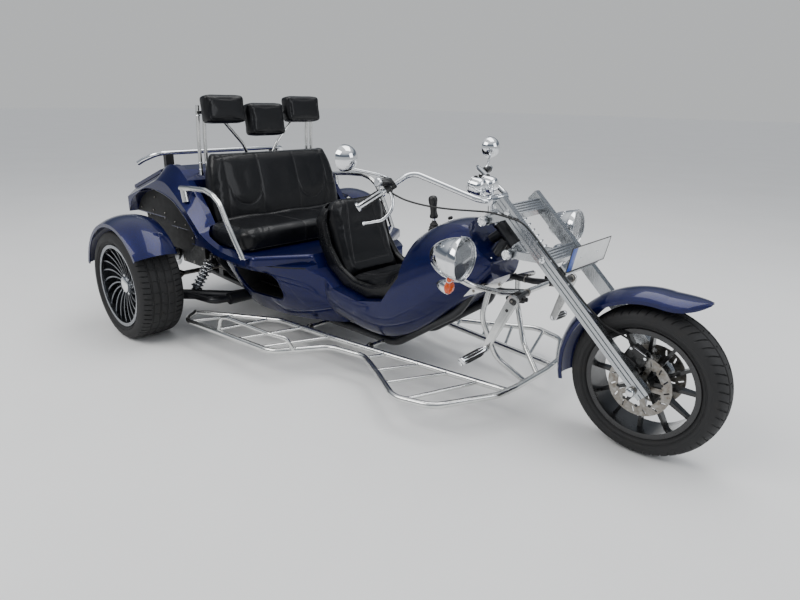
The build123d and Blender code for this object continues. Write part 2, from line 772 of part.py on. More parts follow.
def boot_lid():
    """The rear deck over the boot, with the outer eyes of its two hinges on its front edge."""
    half = BOOT_HALF + 42
    lid = side_plate([(-1800, 786), (-1402, 923), (-1402, 945), (-1800, 808)], -half, half)
    for side in HINGE_SIDES:
        for inner, outer in ((HINGE_EYE + 1, HINGE_HALF), (-HINGE_HALF, -HINGE_EYE - 1)):
            lid += hinge_leaf(HINGE_ON_LID, side + inner, side + outer)
        lid -= hinge_rod(side - HINGE_HALF - 1, side + HINGE_HALF + 1, HINGE_PIN_R + RUNNING_GAP)
        lid -= hinge_rod(side - HINGE_EYE - 1, side + HINGE_EYE + 1, HINGE_R + 3)
    return lid


def lid_rack():
    """The chrome rail across the boot lid, turned down at its ends."""
    right = [(-1655, -566, 962), (-1625, -540, 985), (-1545, -480, 1028)]
    left = [(x, -y, z) for x, y, z in reversed(right)]
    return tube(right + left, 30, bend=90)


def rack_posts():
    """The rack's posts on their base blocks."""
    post = Pos(-1548, -410, 958) * Box(34, 54, 124)
    base = Pos(-1548, -410, 905) * Rot(0, -19, 0) * Box(90, 110, 40)
    post -= rod((-1545, -500, 1028), (-1545, -300, 1028), 15)
    return both(post + base - boot_lid())


def rear_fender():
    """The right-hand rear fender, crowned across and turned in at its outer edge, on two stays."""
    axis_point = (REAR_X, 0, REAR_Z)
    lean = radians(34)
    plane = Plane(origin=axis_point, x_dir=(cos(lean), 0, sin(lean)), z_dir=(-sin(lean), 0, cos(lean)))
    t = FENDER_T
    outer = ThreePointArc((380, -750), (404, -862), (366, -990))
    lip = Polyline((366, -990), (346, -990), (346, -984), (362, -984))
    inner = ThreePointArc((362, -984), (404 - t, -862), (380 - t, -750))
    close = Line((380 - t, -750), (380, -750))
    face = make_face(plane * (outer + lip + inner + close))
    fender = revolve(face, Axis(axis_point, (0, -1, 0)), revolution_arc=134)
    for way in (-1, 1):
        points = [(35, 12), (70, 300), (78, 374)]
        (x0, z0), (x1, z1), (x2, z2) = [(REAR_X + way * x, REAR_Z + z) for x, z in points]
        fender += tube([(x0, -706, z0), (x1, -706, z1), (x2, -764, z2)], 18, bend=60)
    return fender


def swing_arm():
    """The right-hand trailing arm from its pivot back to the wheel's bearing housing."""
    housing = rod((REAR_X, -830, REAR_Z), (REAR_X, -706, REAR_Z), 46)
    arm = [(REAR_X + 10, -768, REAR_Z - 30), (REAR_X + 50, -716, 232), (-880, -420, PIVOT_Z)]
    arm.append((PIVOT_X, -240, PIVOT_Z))
    brace = [(REAR_X + 24, -722, 262), (REAR_X + 90, -640, 235), (-860, -560, PIVOT_Z)]
    brace.append((PIVOT_X, -430, PIVOT_Z))
    solid = housing + tube(arm, 60, bend=90) + tube(brace, 40, bend=60)
    solid += rod((PIVOT_X, -470, PIVOT_Z), (PIVOT_X, -PIVOT_SIDE, PIVOT_Z), 36)
    return solid - rod((REAR_X, -900, REAR_Z), (REAR_X, -600, REAR_Z), 20 + RUNNING_GAP)


def rear_shock():
    """The right-hand coil-over, from the trailing arm up to the hoop."""
    low, high = Vector(-1050, -590, 226), Vector(HOOP_X, -424, 456)
    length = (high - low).length
    profile = [(0, 0), (14, 0), (14, 46), (36, 50)]
    for i in range(6):
        up = 56 + 26 * i
        profile += [(37, up), (37, up + 8), (27, up + 12), (27, up + 18)]
    profile += [(36, 214), (36, 224), (14, 228), (14, length), (0, length)]
    turned = revolve(make_face(Plane.XZ * Polyline(*profile, close=True)), Axis.Z)
    return Plane(origin=low, z_dir=high - low).location * turned


def engine_block():
    """The engine as one block with a finned bank at each side, behind the rear wheels' axis."""
    shape = Pos(-1500, 0, 385) * Box(330, 300, 300)
    bank = Pos(-1500, -235, 350) * Box(300, 170, 150)
    for i in range(5):
        bank -= Pos(-1500, -180 - 28 * i, 350) * (Box(320, 12, 170) - Box(276, 14, 126))
    return shape + both(bank)


def gearbox():
    """The transaxle ahead of the engine, with an output flange at each side."""
    box = Pos(-1200, 0, 330) * Box(270, 260, 250)
    nose = Pos(-1000, 0, 300) * Box(160, 140, 150)
    flange = rod((REAR_X, -190, REAR_Z), (REAR_X, -120, REAR_Z), 55)
    return box + nose + both(flange)


# The tail pipes: outer radius, height and straight length up to their mouths
TAIL_PIPE_R = 22
TAIL_PIPE_Z = 234
TAIL_PIPE = 50


def exhaust():
    """Two silencers behind the engine with their open tail pipes."""
    can = rod((-1730, -420, 330), (-1730, -40, 330), 62)
    pipe = tube([(-1640, -200, 300), (-1690, -200, 300), (-1730, -200, 320)], 40, bend=20)
    bend_x = TAIL_X + TAIL_PIPE + 12
    route = [(-1730, -300, 300), (bend_x, -300, TAIL_PIPE_Z), (TAIL_X, -300, TAIL_PIPE_Z)]
    tail = tube(route, 2 * TAIL_PIPE_R, bend=24)
    mouth = rod((TAIL_X, -300, TAIL_PIPE_Z), (TAIL_X + 45, -300, TAIL_PIPE_Z), TAIL_PIPE_R - 2)
    return both(can + pipe + tail - mouth)


# Seats


def seat_front(half, top, corner):
    """The seat's outline in the front view, with round upper corners, as a prism along its length."""
    face = Pos(0, top / 2) * Rectangle(2 * half, top)
    face = fillet(face.vertices().sort_by(Axis.Y)[-2:], corner)
    return Pos(-500, 0, 0) * extrude(Plane.YZ * face, 1000)


def driver_shell():
    """The bucket that carries the driver's cushions, with raised sides."""
    outline = SEAT_BACK_LINE + list(reversed(SEAT_RIM_LINE))
    slab = side_plate(outline, -SEAT_HALF, SEAT_HALF) & seat_front(SEAT_HALF, 851, 110)
    base_line = [(x + SEAT_BASE * 0.75, z + SEAT_BASE * 0.6) for x, z in SEAT_BACK_LINE]
    hollow = side_plate(base_line + [(372, 950), (-180, 950)], -SEAT_HALF + SEAT_WALL, SEAT_HALF - SEAT_WALL)
    return slab - hollow


def driver_cushion():
    """The driver's seat cushion in the bucket."""
    points = [(-58, 430), (112, 400), (282, 440), (352, 568), (300, 570), (200, 520), (60, 480), (-58, 468)]
    return side_plate(points, -SEAT_HALF + SEAT_WALL + 1, SEAT_HALF - SEAT_WALL - 1)


def driver_back():
    """The driver's back cushion in the bucket."""
    rear = [(-60, 420), (-175, 500), (-258, 640), (-280, 740), (-250, 840)]
    front = [(-200, 868), (-170, 840), (-190, 700), (-120, 560), (-60, 478)]
    points = rear + front
    half = SEAT_HALF - SEAT_WALL - 1
    return side_plate(points, -half, half) & seat_front(half, 866, 90)


def bench_cushion():
    """The passengers' seat cushion."""
    cushion = Pos(-672, 0, 630) * Box(404, 1150, 116)
    cushion = fillet(cushion.edges().filter_by(Axis.Z), 60)
    return fillet(cushion.faces().sort_by(Axis.Z)[-1].edges(), 28)


def bench_back():
    """The passengers' back cushion, narrower towards its top."""
    rows = [(572, -947, 130, 990), (700, -952, 130, 985), (900, -985, 118, 960), (1068, -1012, 70, 860)]
    sections = [Pos(x, 0, z) * RectangleRounded(depth, width, 30) for z, x, depth, width in rows]
    return loft(sections)


def headrests():
    """Three padded headrests, the middle one lower."""
    shape = None
    for y, z, height in ((-291, 1308, 165), (0, 1247, 200), (291, 1308, 165)):
        pad = Pos(-1052, y, z) * Rot(0, -8, 0) * Box(96, 272, height)
        pad = fillet(pad.edges(), 24)
        shape = pad if shape is None else shape + pad
    return shape


def headrest_frame():
    """Chrome posts behind the bench and the bar that carries the headrests."""
    frame = rod((-1108, -436, 1290), (-1108, 436, 1290), 11)
    for y in (-425, -385):
        frame += both(tube([(-1124, y, 900), (-1124, y, 1120), (-1108, y, 1330)], 22, bend=60))
    brace = tube([(-1110, -300, 1285), (-1112, -130, 1100), (-1124, -60, 960)], 20, bend=60)
    return frame + both(brace)


def armrests():
    """Chrome armrests beside the bench, each with a post under its rear end."""
    rest = [(-1090, -585, 866), (-940, -600, 880), (-790, -600, 886), (-712, -600, 868)]
    fall = [(-650, -600, 830), (-576, -600, 713), (-477, -586, 548)]
    arm = tube(rest + fall, 30, bend=90)
    post = rod((-1060, -586, 868), (-1045, -583, 790), 20)
    return both(arm + post)


# Running boards

BOARD_Z = 145
BOARD_OUTER = [
    (990, -140),
    (975, -270),
    (840, -545),
    (660, -600),
    (447, -480),
    (254, -382),
    (36, -425),
    (-127, -679),
    (-859, -752),
    (-944, -640),
]
BOARD_INNER = [(-944, -640), (-470, -366), (-219, -344), (-19, -330), (993, -194)]
RUNGS = [
    ((701, -559), (842, -230)),
    ((557, -493), (681, -245)),
    ((428, -435), (521, -266)),
    ((273, -385), (310, -257)),
    ((-215, -654), (-61, -376)),
    ((-396, -675), (-276, -446)),
    ((-598, -685), (-505, -450)),
    ((-824, -704), (-713, -515)),
]
BRACKETS = [(180, -304), (-260, -346)]
GUARD = [
    (-560, -718, BOARD_Z),
    (-560, -700, 222),
    (-500, -692, 234),
    (-150, -668, 232),
    (-74, -618, 214),
    (-60, -588, BOARD_Z),
]


def board_path(points):
    """A tube's middle line in the boards' plane."""
    return [(x, y, BOARD_Z) for x, y in points]


def nearest(line, point):
    """The point of a line of straight runs that is nearest to a point."""
    wire = Polyline(*line)
    return wire.distance_to_with_closest_points(Vector(*point))[1]


def running_board(side):
    """A foot board: a bent outer tube, an inner rail, rungs between them and a foot guard."""
    outer, inner = board_path(BOARD_OUTER), board_path(BOARD_INNER)
    board = tube(outer, BOARD_TUBE, bend=110) + tube(inner, BOARD_TUBE, bend=110)
    for a, b in RUNGS:
        a, b = (nearest(outer, (*a, BOARD_Z)), nearest(inner, (*b, BOARD_Z)))
        board += rod(a, b, RUNG_TUBE / 2)
    for x, y in BRACKETS:
        board += rod((x, y, BOARD_Z + 4), (x, -RAIL_SIDE, BOARD_Z + 4), 11)
    board += tube(GUARD, 20, bend=40)
    return on_side(board, side)


def board_struts():
    """The boards' front cross tube and the curved struts that hold it below the frame."""
    strut = tube([(800, -120, 572), (788, -150, 438), (860, -120, 250), (980, -58, 150)], 26, bend=140)
    strut -= rod((760, -120, 574), (840, -120, 574), 15)
    (x0, y0), (x1, y1) = BOARD_OUTER[:2]
    end = Plane(origin=(x0, y0, BOARD_Z), z_dir=(x1 - x0, y1 - y0, 0)).location
    half = strut + rod((x0, y0 - 4, BOARD_Z), (x0, 0, BOARD_Z), BOARD_TUBE / 2)
    return both(half - end * Box(60, 60, 20, align=LOW))


def pedals():
    """Foot pedals on arms that hang from the headlight bar's middle."""
    arm = tube([(1020, -250, 588), (923, -262, 450), (916, -300, 352)], 26, bend=60)
    peg = rod((916, -292, 356), (898, -440, 336), 16)
    shaft = rod((1020, -262, 588), (984, -90, 590), 14)
    return both(arm + peg + shaft)


def headlight_bar():
    """The bent tube across the frame that carries the headlights."""
    right = [(868, -462, 706), (918, -428, 676), (950, -250, 612), (980, -120, 590)]
    left = [(x, -y, z) for x, y, z in reversed(right)]
    return tube(right + left, 24, bend=60)


def headlights():
    """Headlight buckets, each with the short stem below it that carries an indicator."""
    bucket = Pos(880, -467, 785) * Rot(0, 90, 0) * teardrop_lamp()
    stem = rod((826, -472, 650), (846, -467, 716), 8)
    return both(bucket + stem)


def teardrop_lamp():
    """A bucket open towards +Z: a flared rim on a pointed back."""
    outline = Spline((92, 20), (88, -40), (50, -110), (0, -140), tangents=((0, -1), (-1, 0)))
    face = make_face(Plane.XZ * (outline + Line((0, -140), (0, 20)) + Line((0, 20), (92, 20))))
    return revolve(face, Axis.Z)


def headlight_lenses():
    """Domed lenses in front of the buckets."""
    lens = Pos(900, -467, 785) * Rot(0, 90, 0) * (Cylinder(84, 8, align=LOW))
    return both(lens)


def turn_signals():
    """Round indicator lamps below the headlights."""
    place = Pos(836, -474, 662) * Rot(0, 90, 0)
    return both(place * (Cylinder(31, 26) + Pos(0, 0, -34) * Cone(12, 31, 42)))


def gear_lever():
    """The gear lever with its boot on the tank's rear slope."""
    lever = tube([(345, 20, 700), (340, 20, 800), (346, 20, 880)], 14, bend=60)
    grip = Pos(344, 20, 872) * Cylinder(23, 86)
    boot = Pos(345, 20, 740) * Cone(40, 24, 76)
    return lever + grip + boot


def tail_lights():
    """Round tail lamps on the boot's rear wall."""
    lamp = Pos(-1800, -400, 700) * Rot(0, -90, 0) * Cylinder(40, 24)
    return both(lamp)


# Pieces that sit against another: the first is cut where the second passes
SEATED = [
    ("body_tub", "main_frame"),
    ("body_rear", "main_frame"),
    ("body_rear", "bench_cushion"),
    ("body_rear", "bench_back"),
    ("body_rear", "body_tub"),
    ("driver_cushion", "driver_shell"),
    ("driver_back", "driver_shell"),
    ("handlebar", "fork_yokes"),
    ("gauges", "handlebar"),
    ("grips", "handlebar"),
    ("hand_levers", "handlebar"),
    ("mirrors", "hand_levers"),
    ("mirrors", "handlebar"),
    ("brake_hose", "hand_levers"),
    ("brake_hose", "front_caliper"),
    ("headrest_frame", "body_rear"),
    ("headrest_frame", "headrests"),
    ("armrests", "body_rear"),
    ("rear_fenders", "swing_arms"),
    ("rear_shocks", "swing_arms"),
    ("rear_shocks", "main_frame"),
    ("exhaust", "engine_block"),
    ("tail_lights", "body_rear"),
    ("running_board_right", "main_frame"),
    ("running_board_left", "main_frame"),
    ("headlight_bar", "main_frame"),
    ("headlight_bar", "headlights"),
    ("turn_signals", "headlights"),
    ("pedals", "headlight_bar"),
    ("pedals", "main_frame"),
    ("gear_lever", "body_tub"),
]


def build_all():
    """Every node of the trike by name."""
    front = (FRONT_TYRE_R, FRONT_TYRE_W, FRONT_RIM_R, FRONT_SHOULDER)
    rear = (REAR_TYRE_R, REAR_TYRE_W, REAR_RIM_R, REAR_SHOULDER)
    nodes = {
        "front_rim": front_rim(),
        "front_tyre": tyre(FRONT_X, FRONT_Z, 0, *front),
        "front_discs": brake_discs(),
        "fork_legs": fork_legs(),
        "fork_bars": fork_bars(),
        "fork_yokes": fork_yokes(),
        "front_spring": front_spring(),
        "handlebar": handlebar(),
        "grips": grips(),
        "hand_levers": hand_levers(),
        "mirrors": mirrors(),
        "gauges": gauges(),
        "front_fender": front_fender(),
        "front_axle": front_axle(),
        "front_caliper": front_caliper(),
        "brake_hose": brake_hose(),
        "number_plate": number_plate(),
        "main_frame": main_frame(),
        "body_tub": body_tub(),
        "body_rear": body_rear(),
        "boot_lid": boot_lid(),
        "lid_rack": lid_rack(),
        "rack_posts": rack_posts(),
        "rear_fenders": both(rear_fender()),
        "swing_arms": both(swing_arm()),
        "rear_shocks": both(rear_shock()),
        "engine_block": engine_block(),
        "gearbox": gearbox(),
        "exhaust": exhaust(),
        "driver_shell": driver_shell(),
        "driver_cushion": driver_cushion(),
        "driver_back": driver_back(),
        "bench_cushion": bench_cushion(),
        "bench_back": bench_back(),
        "headrests": headrests(),
        "headrest_frame": headrest_frame(),
        "armrests": armrests(),
        "board_struts": board_struts(),
        "pedals": pedals(),
        "headlight_bar": headlight_bar(),
        "headlights": headlights(),
        "headlight_lenses": headlight_lenses(),
        "turn_signals": turn_signals(),
        "gear_lever": gear_lever(),
        "tail_lights": tail_lights(),
    }
    for name, side in SIDES:
        nodes["rear_" + name + "_rim"] = rear_rim(side)
        nodes["rear_" + name + "_tyre"] = tyre(REAR_X, REAR_Z, side * REAR_TRACK_HALF, *rear)
        nodes["rear_" + name + "_shaft"] = rear_shaft(side)
        nodes["running_board_" + name] = running_board(side)
    for piece, holder in SEATED:
        nodes[piece] = nodes[piece] - nodes[holder]
    return nodes


os.makedirs("parts", exist_ok=True)
for node, shape in build_all().items():
    export_step(shape, f"parts/{node}.step")
    print(node, len(shape.solids()), round(shape.volume / 1e3), "cm3")
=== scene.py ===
import json
from math import cos, pi, radians, sin

import bmesh
import bpy
import numpy as np
from mathutils import Matrix, Vector
from mathutils.bvhtree import BVHTree
from mathutils.kdtree import KDTree


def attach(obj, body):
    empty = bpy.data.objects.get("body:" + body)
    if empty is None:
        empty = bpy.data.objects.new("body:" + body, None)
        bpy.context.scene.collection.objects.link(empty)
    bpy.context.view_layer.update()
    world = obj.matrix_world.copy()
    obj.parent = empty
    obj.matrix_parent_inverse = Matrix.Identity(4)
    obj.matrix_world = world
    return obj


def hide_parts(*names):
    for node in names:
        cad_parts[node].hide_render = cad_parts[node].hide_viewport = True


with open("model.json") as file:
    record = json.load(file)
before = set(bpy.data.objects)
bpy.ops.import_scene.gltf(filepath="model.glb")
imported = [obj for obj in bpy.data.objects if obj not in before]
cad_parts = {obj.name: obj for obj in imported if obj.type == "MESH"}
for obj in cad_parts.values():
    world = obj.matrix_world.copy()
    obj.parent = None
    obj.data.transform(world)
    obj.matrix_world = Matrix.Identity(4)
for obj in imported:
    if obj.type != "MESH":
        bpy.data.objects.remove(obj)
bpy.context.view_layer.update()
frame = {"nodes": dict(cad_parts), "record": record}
cad = frame["nodes"]
scene = bpy.context.scene

# Places and sizes in metres, and the rake, with the same values as in the solid model
WHEELBASE = 2.715
REAR_X, REAR_Z = -1.2, 0.322
REAR_R, REAR_W, REAR_RIM = 0.322, 0.264, 0.243
REAR_SIDE = 0.853
FRONT_X, FRONT_Z = REAR_X + WHEELBASE, 0.316
FRONT_R, FRONT_W, FRONT_RIM = 0.316, 0.16, 0.231
RAKE = radians(47)
FORK_UP = Vector((-sin(RAKE), 0, cos(RAKE)))
FORK_AHEAD = Vector((cos(RAKE), 0, sin(RAKE)))
FORK_ORIGIN = Vector((FRONT_X, 0, FRONT_Z)) + FORK_AHEAD * 0.022
LEG_SIDE, LEG_WIDTH, LEG_DEPTH = 0.134, 0.034, 0.054
LEG_TOP = 0.945
# On the fork: how far up its two cross bars are, and how far ahead of its line the links' pins are
BARS_UP, PINS_AHEAD = (0.880, 0.626), -0.150
SIDES = (-1, 1)
REAR_WHEELS = (("right", -1), ("left", 1))


# Node helpers


def srgb(r, g, b):
    """A colour given as 0 to 255, in the linear values that the shader takes."""
    def linear(c):
        c /= 255
        return c / 12.92 if c <= 0.04045 else ((c + 0.055) / 1.055) ** 2.4
    return (linear(r), linear(g), linear(b), 1.0)


def set_stops(elements, stops):
    """Puts (place, colour) stops on a colour ramp."""
    elements[0].position, elements[0].color = stops[0]
    elements[1].position, elements[1].color = stops[-1]
    for place, colour in stops[1:-1]:
        elements.new(place).color = colour


class Finish:
    """A material under construction: the principled shader, and the nodes that feed it."""

    def __init__(self, name, colour, rough, metal=0.0, **more):
        self.mat = bpy.data.materials.new(name)
        self.mat.use_nodes = True
        self.tree = self.mat.node_tree
        self.shader = self.tree.nodes["Principled BSDF"]
        self.shader.inputs["Base Color"].default_value = colour
        self.shader.inputs["Roughness"].default_value = rough
        self.shader.inputs["Metallic"].default_value = metal
        for socket, value in more.items():
            self.shader.inputs[socket.replace("_", " ")].default_value = value
        self.mat.diffuse_color = colour

    def node(self, kind, **values):
        made = self.tree.nodes.new(kind)
        for key, value in values.items():
            if key in made.inputs:
                made.inputs[key].default_value = value
            else:
                setattr(made, key, value)
        return made

    def link(self, source, target):
        self.tree.links.new(source, target)

    def coords(self, stretch=(1, 1, 1), turn=(0, 0, 0)):
        """Object coordinates, stretched and turned."""
        place = self.node("ShaderNodeTexCoord")
        mapping = self.node("ShaderNodeMapping")
        mapping.inputs["Scale"].default_value = stretch
        mapping.inputs["Rotation"].default_value = turn
        self.link(place.outputs["Object"], mapping.inputs["Vector"])
        return mapping.outputs["Vector"]

    def noise(self, scale, detail=3, rough=0.6, stretch=(1, 1, 1), turn=(0, 0, 0)):
        made = self.node("ShaderNodeTexNoise", Scale=scale, Detail=detail, Roughness=rough)
        self.link(self.coords(stretch, turn), made.inputs["Vector"])
        return made.outputs["Fac"]

    def cells(self, scale, feature="F1", output="Distance"):
        made = self.node("ShaderNodeTexVoronoi", feature=feature)
        made.inputs["Scale"].default_value = scale
        self.link(self.coords(), made.inputs["Vector"])
        return made.outputs[output]

    def ramp(self, source, stops):
        """A colour ramp from (place, colour) stops."""
        made = self.node("ShaderNodeValToRGB")
        set_stops(made.color_ramp.elements, stops)
        self.link(source, made.inputs["Fac"])
        return made.outputs["Color"]

    def spread(self, source, low, high, start=0.3, end=0.7):
        """A value mapped to a range."""
        made = self.node("ShaderNodeMapRange")
        made.inputs["From Min"].default_value = start
        made.inputs["From Max"].default_value = end
        made.inputs["To Min"].default_value = low
        made.inputs["To Max"].default_value = high
        self.link(source, made.inputs["Value"])
        return made.outputs["Result"]

    def math(self, kind, a, b):
        made = self.node("ShaderNodeMath", operation=kind)
        for socket, value in zip(made.inputs, (a, b)):
            if hasattr(value, "is_output"):
                self.link(value, socket)
            else:
                socket.default_value = value
        return made.outputs[0]

    def colour(self, source):
        self.link(source, self.shader.inputs["Base Color"])

    def rough(self, source):
        self.link(source, self.shader.inputs["Roughness"])

    def bump(self, source, strength, distance, after=None):
        made = self.node("ShaderNodeBump", Strength=strength, Distance=distance)
        self.link(source, made.inputs["Height"])
        if after is not None:
            self.link(after, made.inputs["Normal"])
        self.link(made.outputs["Normal"], self.shader.inputs["Normal"])


def tinted(name, dark, light, rough, metal=0.0, scale=40, spread=0.05, **more):
    """A finish whose colour and roughness vary gently, as handled and cleaned surfaces do."""
    made = Finish(name, dark, rough, metal, **more)
    patch = made.noise(scale)
    made.colour(made.ramp(patch, [(0.3, dark), (0.7, light)]))
    made.rough(made.spread(made.noise(scale * 0.35, 4), rough - spread, rough + spread))
    return made


# Materials

paint = Finish(
    "navy_paint", srgb(5, 11, 52), 0.34, 0.5,
    Specular_IOR_Level=0.15, Coat_Weight=1.0, Coat_Roughness=0.03, Coat_IOR=1.36,
)
flake = paint.cells(2600, output="Color")
flake_tone = paint.ramp(flake, [(0.2, srgb(3, 6, 42)), (0.75, srgb(6, 14, 74)), (1.0, srgb(22, 48, 138))])
paint.colour(flake_tone)
paint.rough(paint.spread(paint.noise(9, 4), 0.3, 0.4))
paint.bump(paint.noise(900, 2), 0.03, 0.0004)

chrome = tinted("chrome", srgb(226, 228, 231), srgb(236, 238, 240), 0.05, 1.0, 14, 0.02)
polished = tinted("polished_tube", srgb(206, 207, 206), srgb(224, 224, 222), 0.2, 1.0, 20, 0.05)
polished.bump(polished.noise(60, 3), 0.05, 0.0006)

fork_metal = Finish("fork_metal", srgb(178, 181, 184), 0.24, 1.0)
grain = fork_metal.noise(16, 5, 0.7, stretch=(60, 60, 1.4), turn=(0, RAKE, 0))
fork_metal.colour(fork_metal.ramp(grain, [(0.3, srgb(160, 163, 167)), (0.7, srgb(196, 199, 201))]))
fork_metal.rough(fork_metal.spread(grain, 0.17, 0.33))
fork_metal.bump(grain, 0.06, 0.0004)

gunmetal = tinted("gunmetal_alloy", srgb(92, 95, 100), srgb(122, 125, 130), 0.3, 1.0, 30, 0.06)
bright_lip = tinted("machined_lip", srgb(128, 131, 136), srgb(156, 159, 163), 0.2, 1.0, 90, 0.05)
bright_edge = tinted("bright_edge", srgb(214, 216, 218), srgb(232, 233, 234), 0.24, 1.0, 90, 0.05)
black_alloy = tinted("black_alloy", srgb(20, 20, 21), srgb(34, 34, 36), 0.3, 0.3, 30, 0.08,
                     Coat_Weight=0.6, Coat_Roughness=0.12)
steel = Finish("disc_steel", srgb(140, 138, 134), 0.3, 1.0)
sweepings = steel.noise(14, 4, 0.6, stretch=(3, 1, 3))
steel.colour(steel.ramp(sweepings, [(0.3, srgb(112, 104, 94)), (0.55, srgb(146, 143, 138)),
                                    (0.75, srgb(176, 175, 172))]))
steel.rough(steel.spread(sweepings, 0.24, 0.42))
frame_metal = tinted("frame_metal", srgb(22, 23, 26), srgb(36, 37, 41), 0.42, 0.4, 25, 0.1, Coat_Weight=0.3)
black_metal = tinted("black_metal", srgb(14, 14, 15), srgb(30, 30, 32), 0.36, 0.2, 22, 0.1,
                     Coat_Weight=0.4, Coat_Roughness=0.2)
engine_metal = tinted("engine_metal", srgb(44, 45, 46), srgb(72, 72, 72), 0.55, 0.6, 60, 0.1)
engine_metal.bump(engine_metal.noise(420, 3), 0.3, 0.0008)

tyre_rubber = Finish("tyre_rubber", srgb(26, 26, 27), 0.72)
dust = tyre_rubber.noise(11, 6, 0.65)
tyre_rubber.colour(tyre_rubber.ramp(dust, [(0.3, srgb(21, 21, 22)), (0.55, srgb(30, 30, 31)),
                                           (0.8, srgb(48, 46, 43))]))
tyre_rubber.rough(tyre_rubber.spread(dust, 0.6, 0.86))
tyre_rubber.bump(tyre_rubber.noise(700, 3), 0.25, 0.0006)
rubber = tinted("rubber", srgb(16, 16, 17), srgb(28, 28, 29), 0.6, 0, 50, 0.1)
rubber.bump(rubber.noise(900, 2), 0.2, 0.0004)
plastic = tinted("black_plastic", srgb(18, 18, 19), srgb(30, 30, 31), 0.4, 0, 40, 0.08)
plastic.bump(plastic.noise(1400, 2), 0.15, 0.0003)


def leather(name, dark, light, rough=0.4):
    """Grained leather: creased cells of about two millimetres over soft wrinkles, with painted shade in the
    creases.
    """
    made = Finish(name, dark, rough, 0.0, Specular_IOR_Level=0.2, Coat_Weight=0.5, Coat_Roughness=0.12,
                  Coat_IOR=1.32)
    cell = made.cells(520, "DISTANCE_TO_EDGE")
    crease = made.spread(cell, 0, 1, 0.0, 0.22)
    pores = made.noise(1500, 2)
    height = made.math("ADD", made.math("MULTIPLY", crease, 0.8), made.math("MULTIPLY", pores, 0.35))
    fine = made.node("ShaderNodeBump", Strength=0.35, Distance=0.0006)
    made.link(height, fine.inputs["Height"])
    made.bump(made.noise(26, 4, 0.55), 0.25, 0.004, fine.outputs["Normal"])
    tone = made.noise(7, 5)
    base = made.ramp(tone, [(0.3, dark), (0.7, light)])
    # Painted shade: the base colour is darkened in the grain's creases, where shadow would fall.
    mix = made.node("ShaderNodeMix", data_type="RGBA", blend_type="MULTIPLY")
    mix.inputs["Factor"].default_value = 0.45
    made.link(base, mix.inputs[6])
    made.link(made.ramp(crease, [(0.0, (0.45, 0.45, 0.45, 1)), (0.6, (1, 1, 1, 1))]), mix.inputs[7])
    made.colour(mix.outputs[2])
    made.rough(made.spread(tone, rough - 0.06, rough + 0.1))
    return made


black_leather = leather("black_leather", srgb(7, 8, 11), srgb(13, 14, 18), 0.36)
shell_vinyl = leather("shell_vinyl", srgb(7, 8, 10), srgb(13, 13, 16), 0.28)
thread = tinted("seam_thread", srgb(46, 46, 48), srgb(66, 66, 68), 0.7, 0, 300, 0.08)

plate_blue = tinted("plate_blue", srgb(18, 62, 150), srgb(26, 74, 166), 0.32, 0, 60, 0.05, Coat_Weight=0.3)
plate_white = tinted("plate_white", srgb(222, 223, 221), srgb(232, 233, 231), 0.32, 0, 60, 0.05,
                     Coat_Weight=0.3)
lens_glass = Finish("lens_glass", (0.96, 0.98, 0.99, 1), 0.03, 0.0, Alpha=0.13, IOR=1.5)
flutes = lens_glass.noise(9, 2, 0.5, stretch=(1, 14, 0.4))
lens_glass.bump(flutes, 0.4, 0.002)
lens_glass.colour(lens_glass.ramp(flutes, [(0.35, (0.10, 0.11, 0.12, 1)), (0.65, (0.22, 0.23, 0.24, 1))]))
reflector = tinted("reflector", srgb(222, 224, 226), srgb(240, 241, 242), 0.12, 1.0, 50, 0.04)
reflector.bump(reflector.cells(62), 0.5, 0.006)
amber = Finish("amber_lens", srgb(255, 98, 12), 0.1, 0.0, Transmission_Weight=0.35, Coat_Weight=0.6,
               IOR=1.49)
amber_grid = amber.cells(260)
amber.colour(amber.ramp(amber_grid, [(0.1, srgb(255, 120, 26)), (0.8, srgb(224, 62, 6))]))
amber.bump(amber_grid, 0.3, 0.0008)
red = Finish("red_lens", srgb(190, 10, 10), 0.1, 0.0, Transmission_Weight=0.3, Coat_Weight=0.6, IOR=1.49)
red_grid = red.cells(260)
red.colour(red.ramp(red_grid, [(0.1, srgb(214, 22, 18)), (0.8, srgb(140, 4, 6))]))
red.bump(red_grid, 0.3, 0.0008)
mirror_glass = Finish("mirror_glass", srgb(224, 228, 230), 0.015, 1.0)
mirror_glass.rough(mirror_glass.spread(mirror_glass.noise(12, 4), 0.01, 0.04))
dial_face = tinted("dial_face", srgb(18, 18, 20), srgb(26, 26, 28), 0.5, 0, 80, 0.05)
dial_mark = tinted("dial_mark", srgb(214, 214, 208), srgb(228, 228, 222), 0.5, 0, 80, 0.05)
needle_red = tinted("needle_red", srgb(200, 30, 14), srgb(220, 44, 20), 0.4, 0, 80, 0.05)
seal = tinted("seal_rubber", srgb(10, 10, 11), srgb(18, 18, 19), 0.7, 0, 40, 0.08)
brass = tinted("brass", srgb(176, 148, 84), srgb(196, 168, 104), 0.3, 1.0, 60, 0.06)

SLOT_FINISH = {
    "blue_paint": paint,
    "chrome": chrome,
    "polished_tube": polished,
    "fork_metal": fork_metal,
    "alloy": gunmetal,
    "black_alloy": black_alloy,
    "steel": steel,
    "frame_metal": frame_metal,
    "black_metal": black_metal,
    "engine_metal": engine_metal,
    "tyre": tyre_rubber,
    "rubber": rubber,
    "black_plastic": plastic,
    "black_leather": black_leather,
    "plate_white": plate_white,
    "lamp_glass": lens_glass,
    "amber_glass": amber,
    "red_glass": red,
}
for part in frame["record"]["subparts"]:
    mesh = cad[part["node"]].data
    mesh.materials.clear()
    mesh.materials.append(SLOT_FINISH[part["material_slot"]].mat)


# Mesh helpers


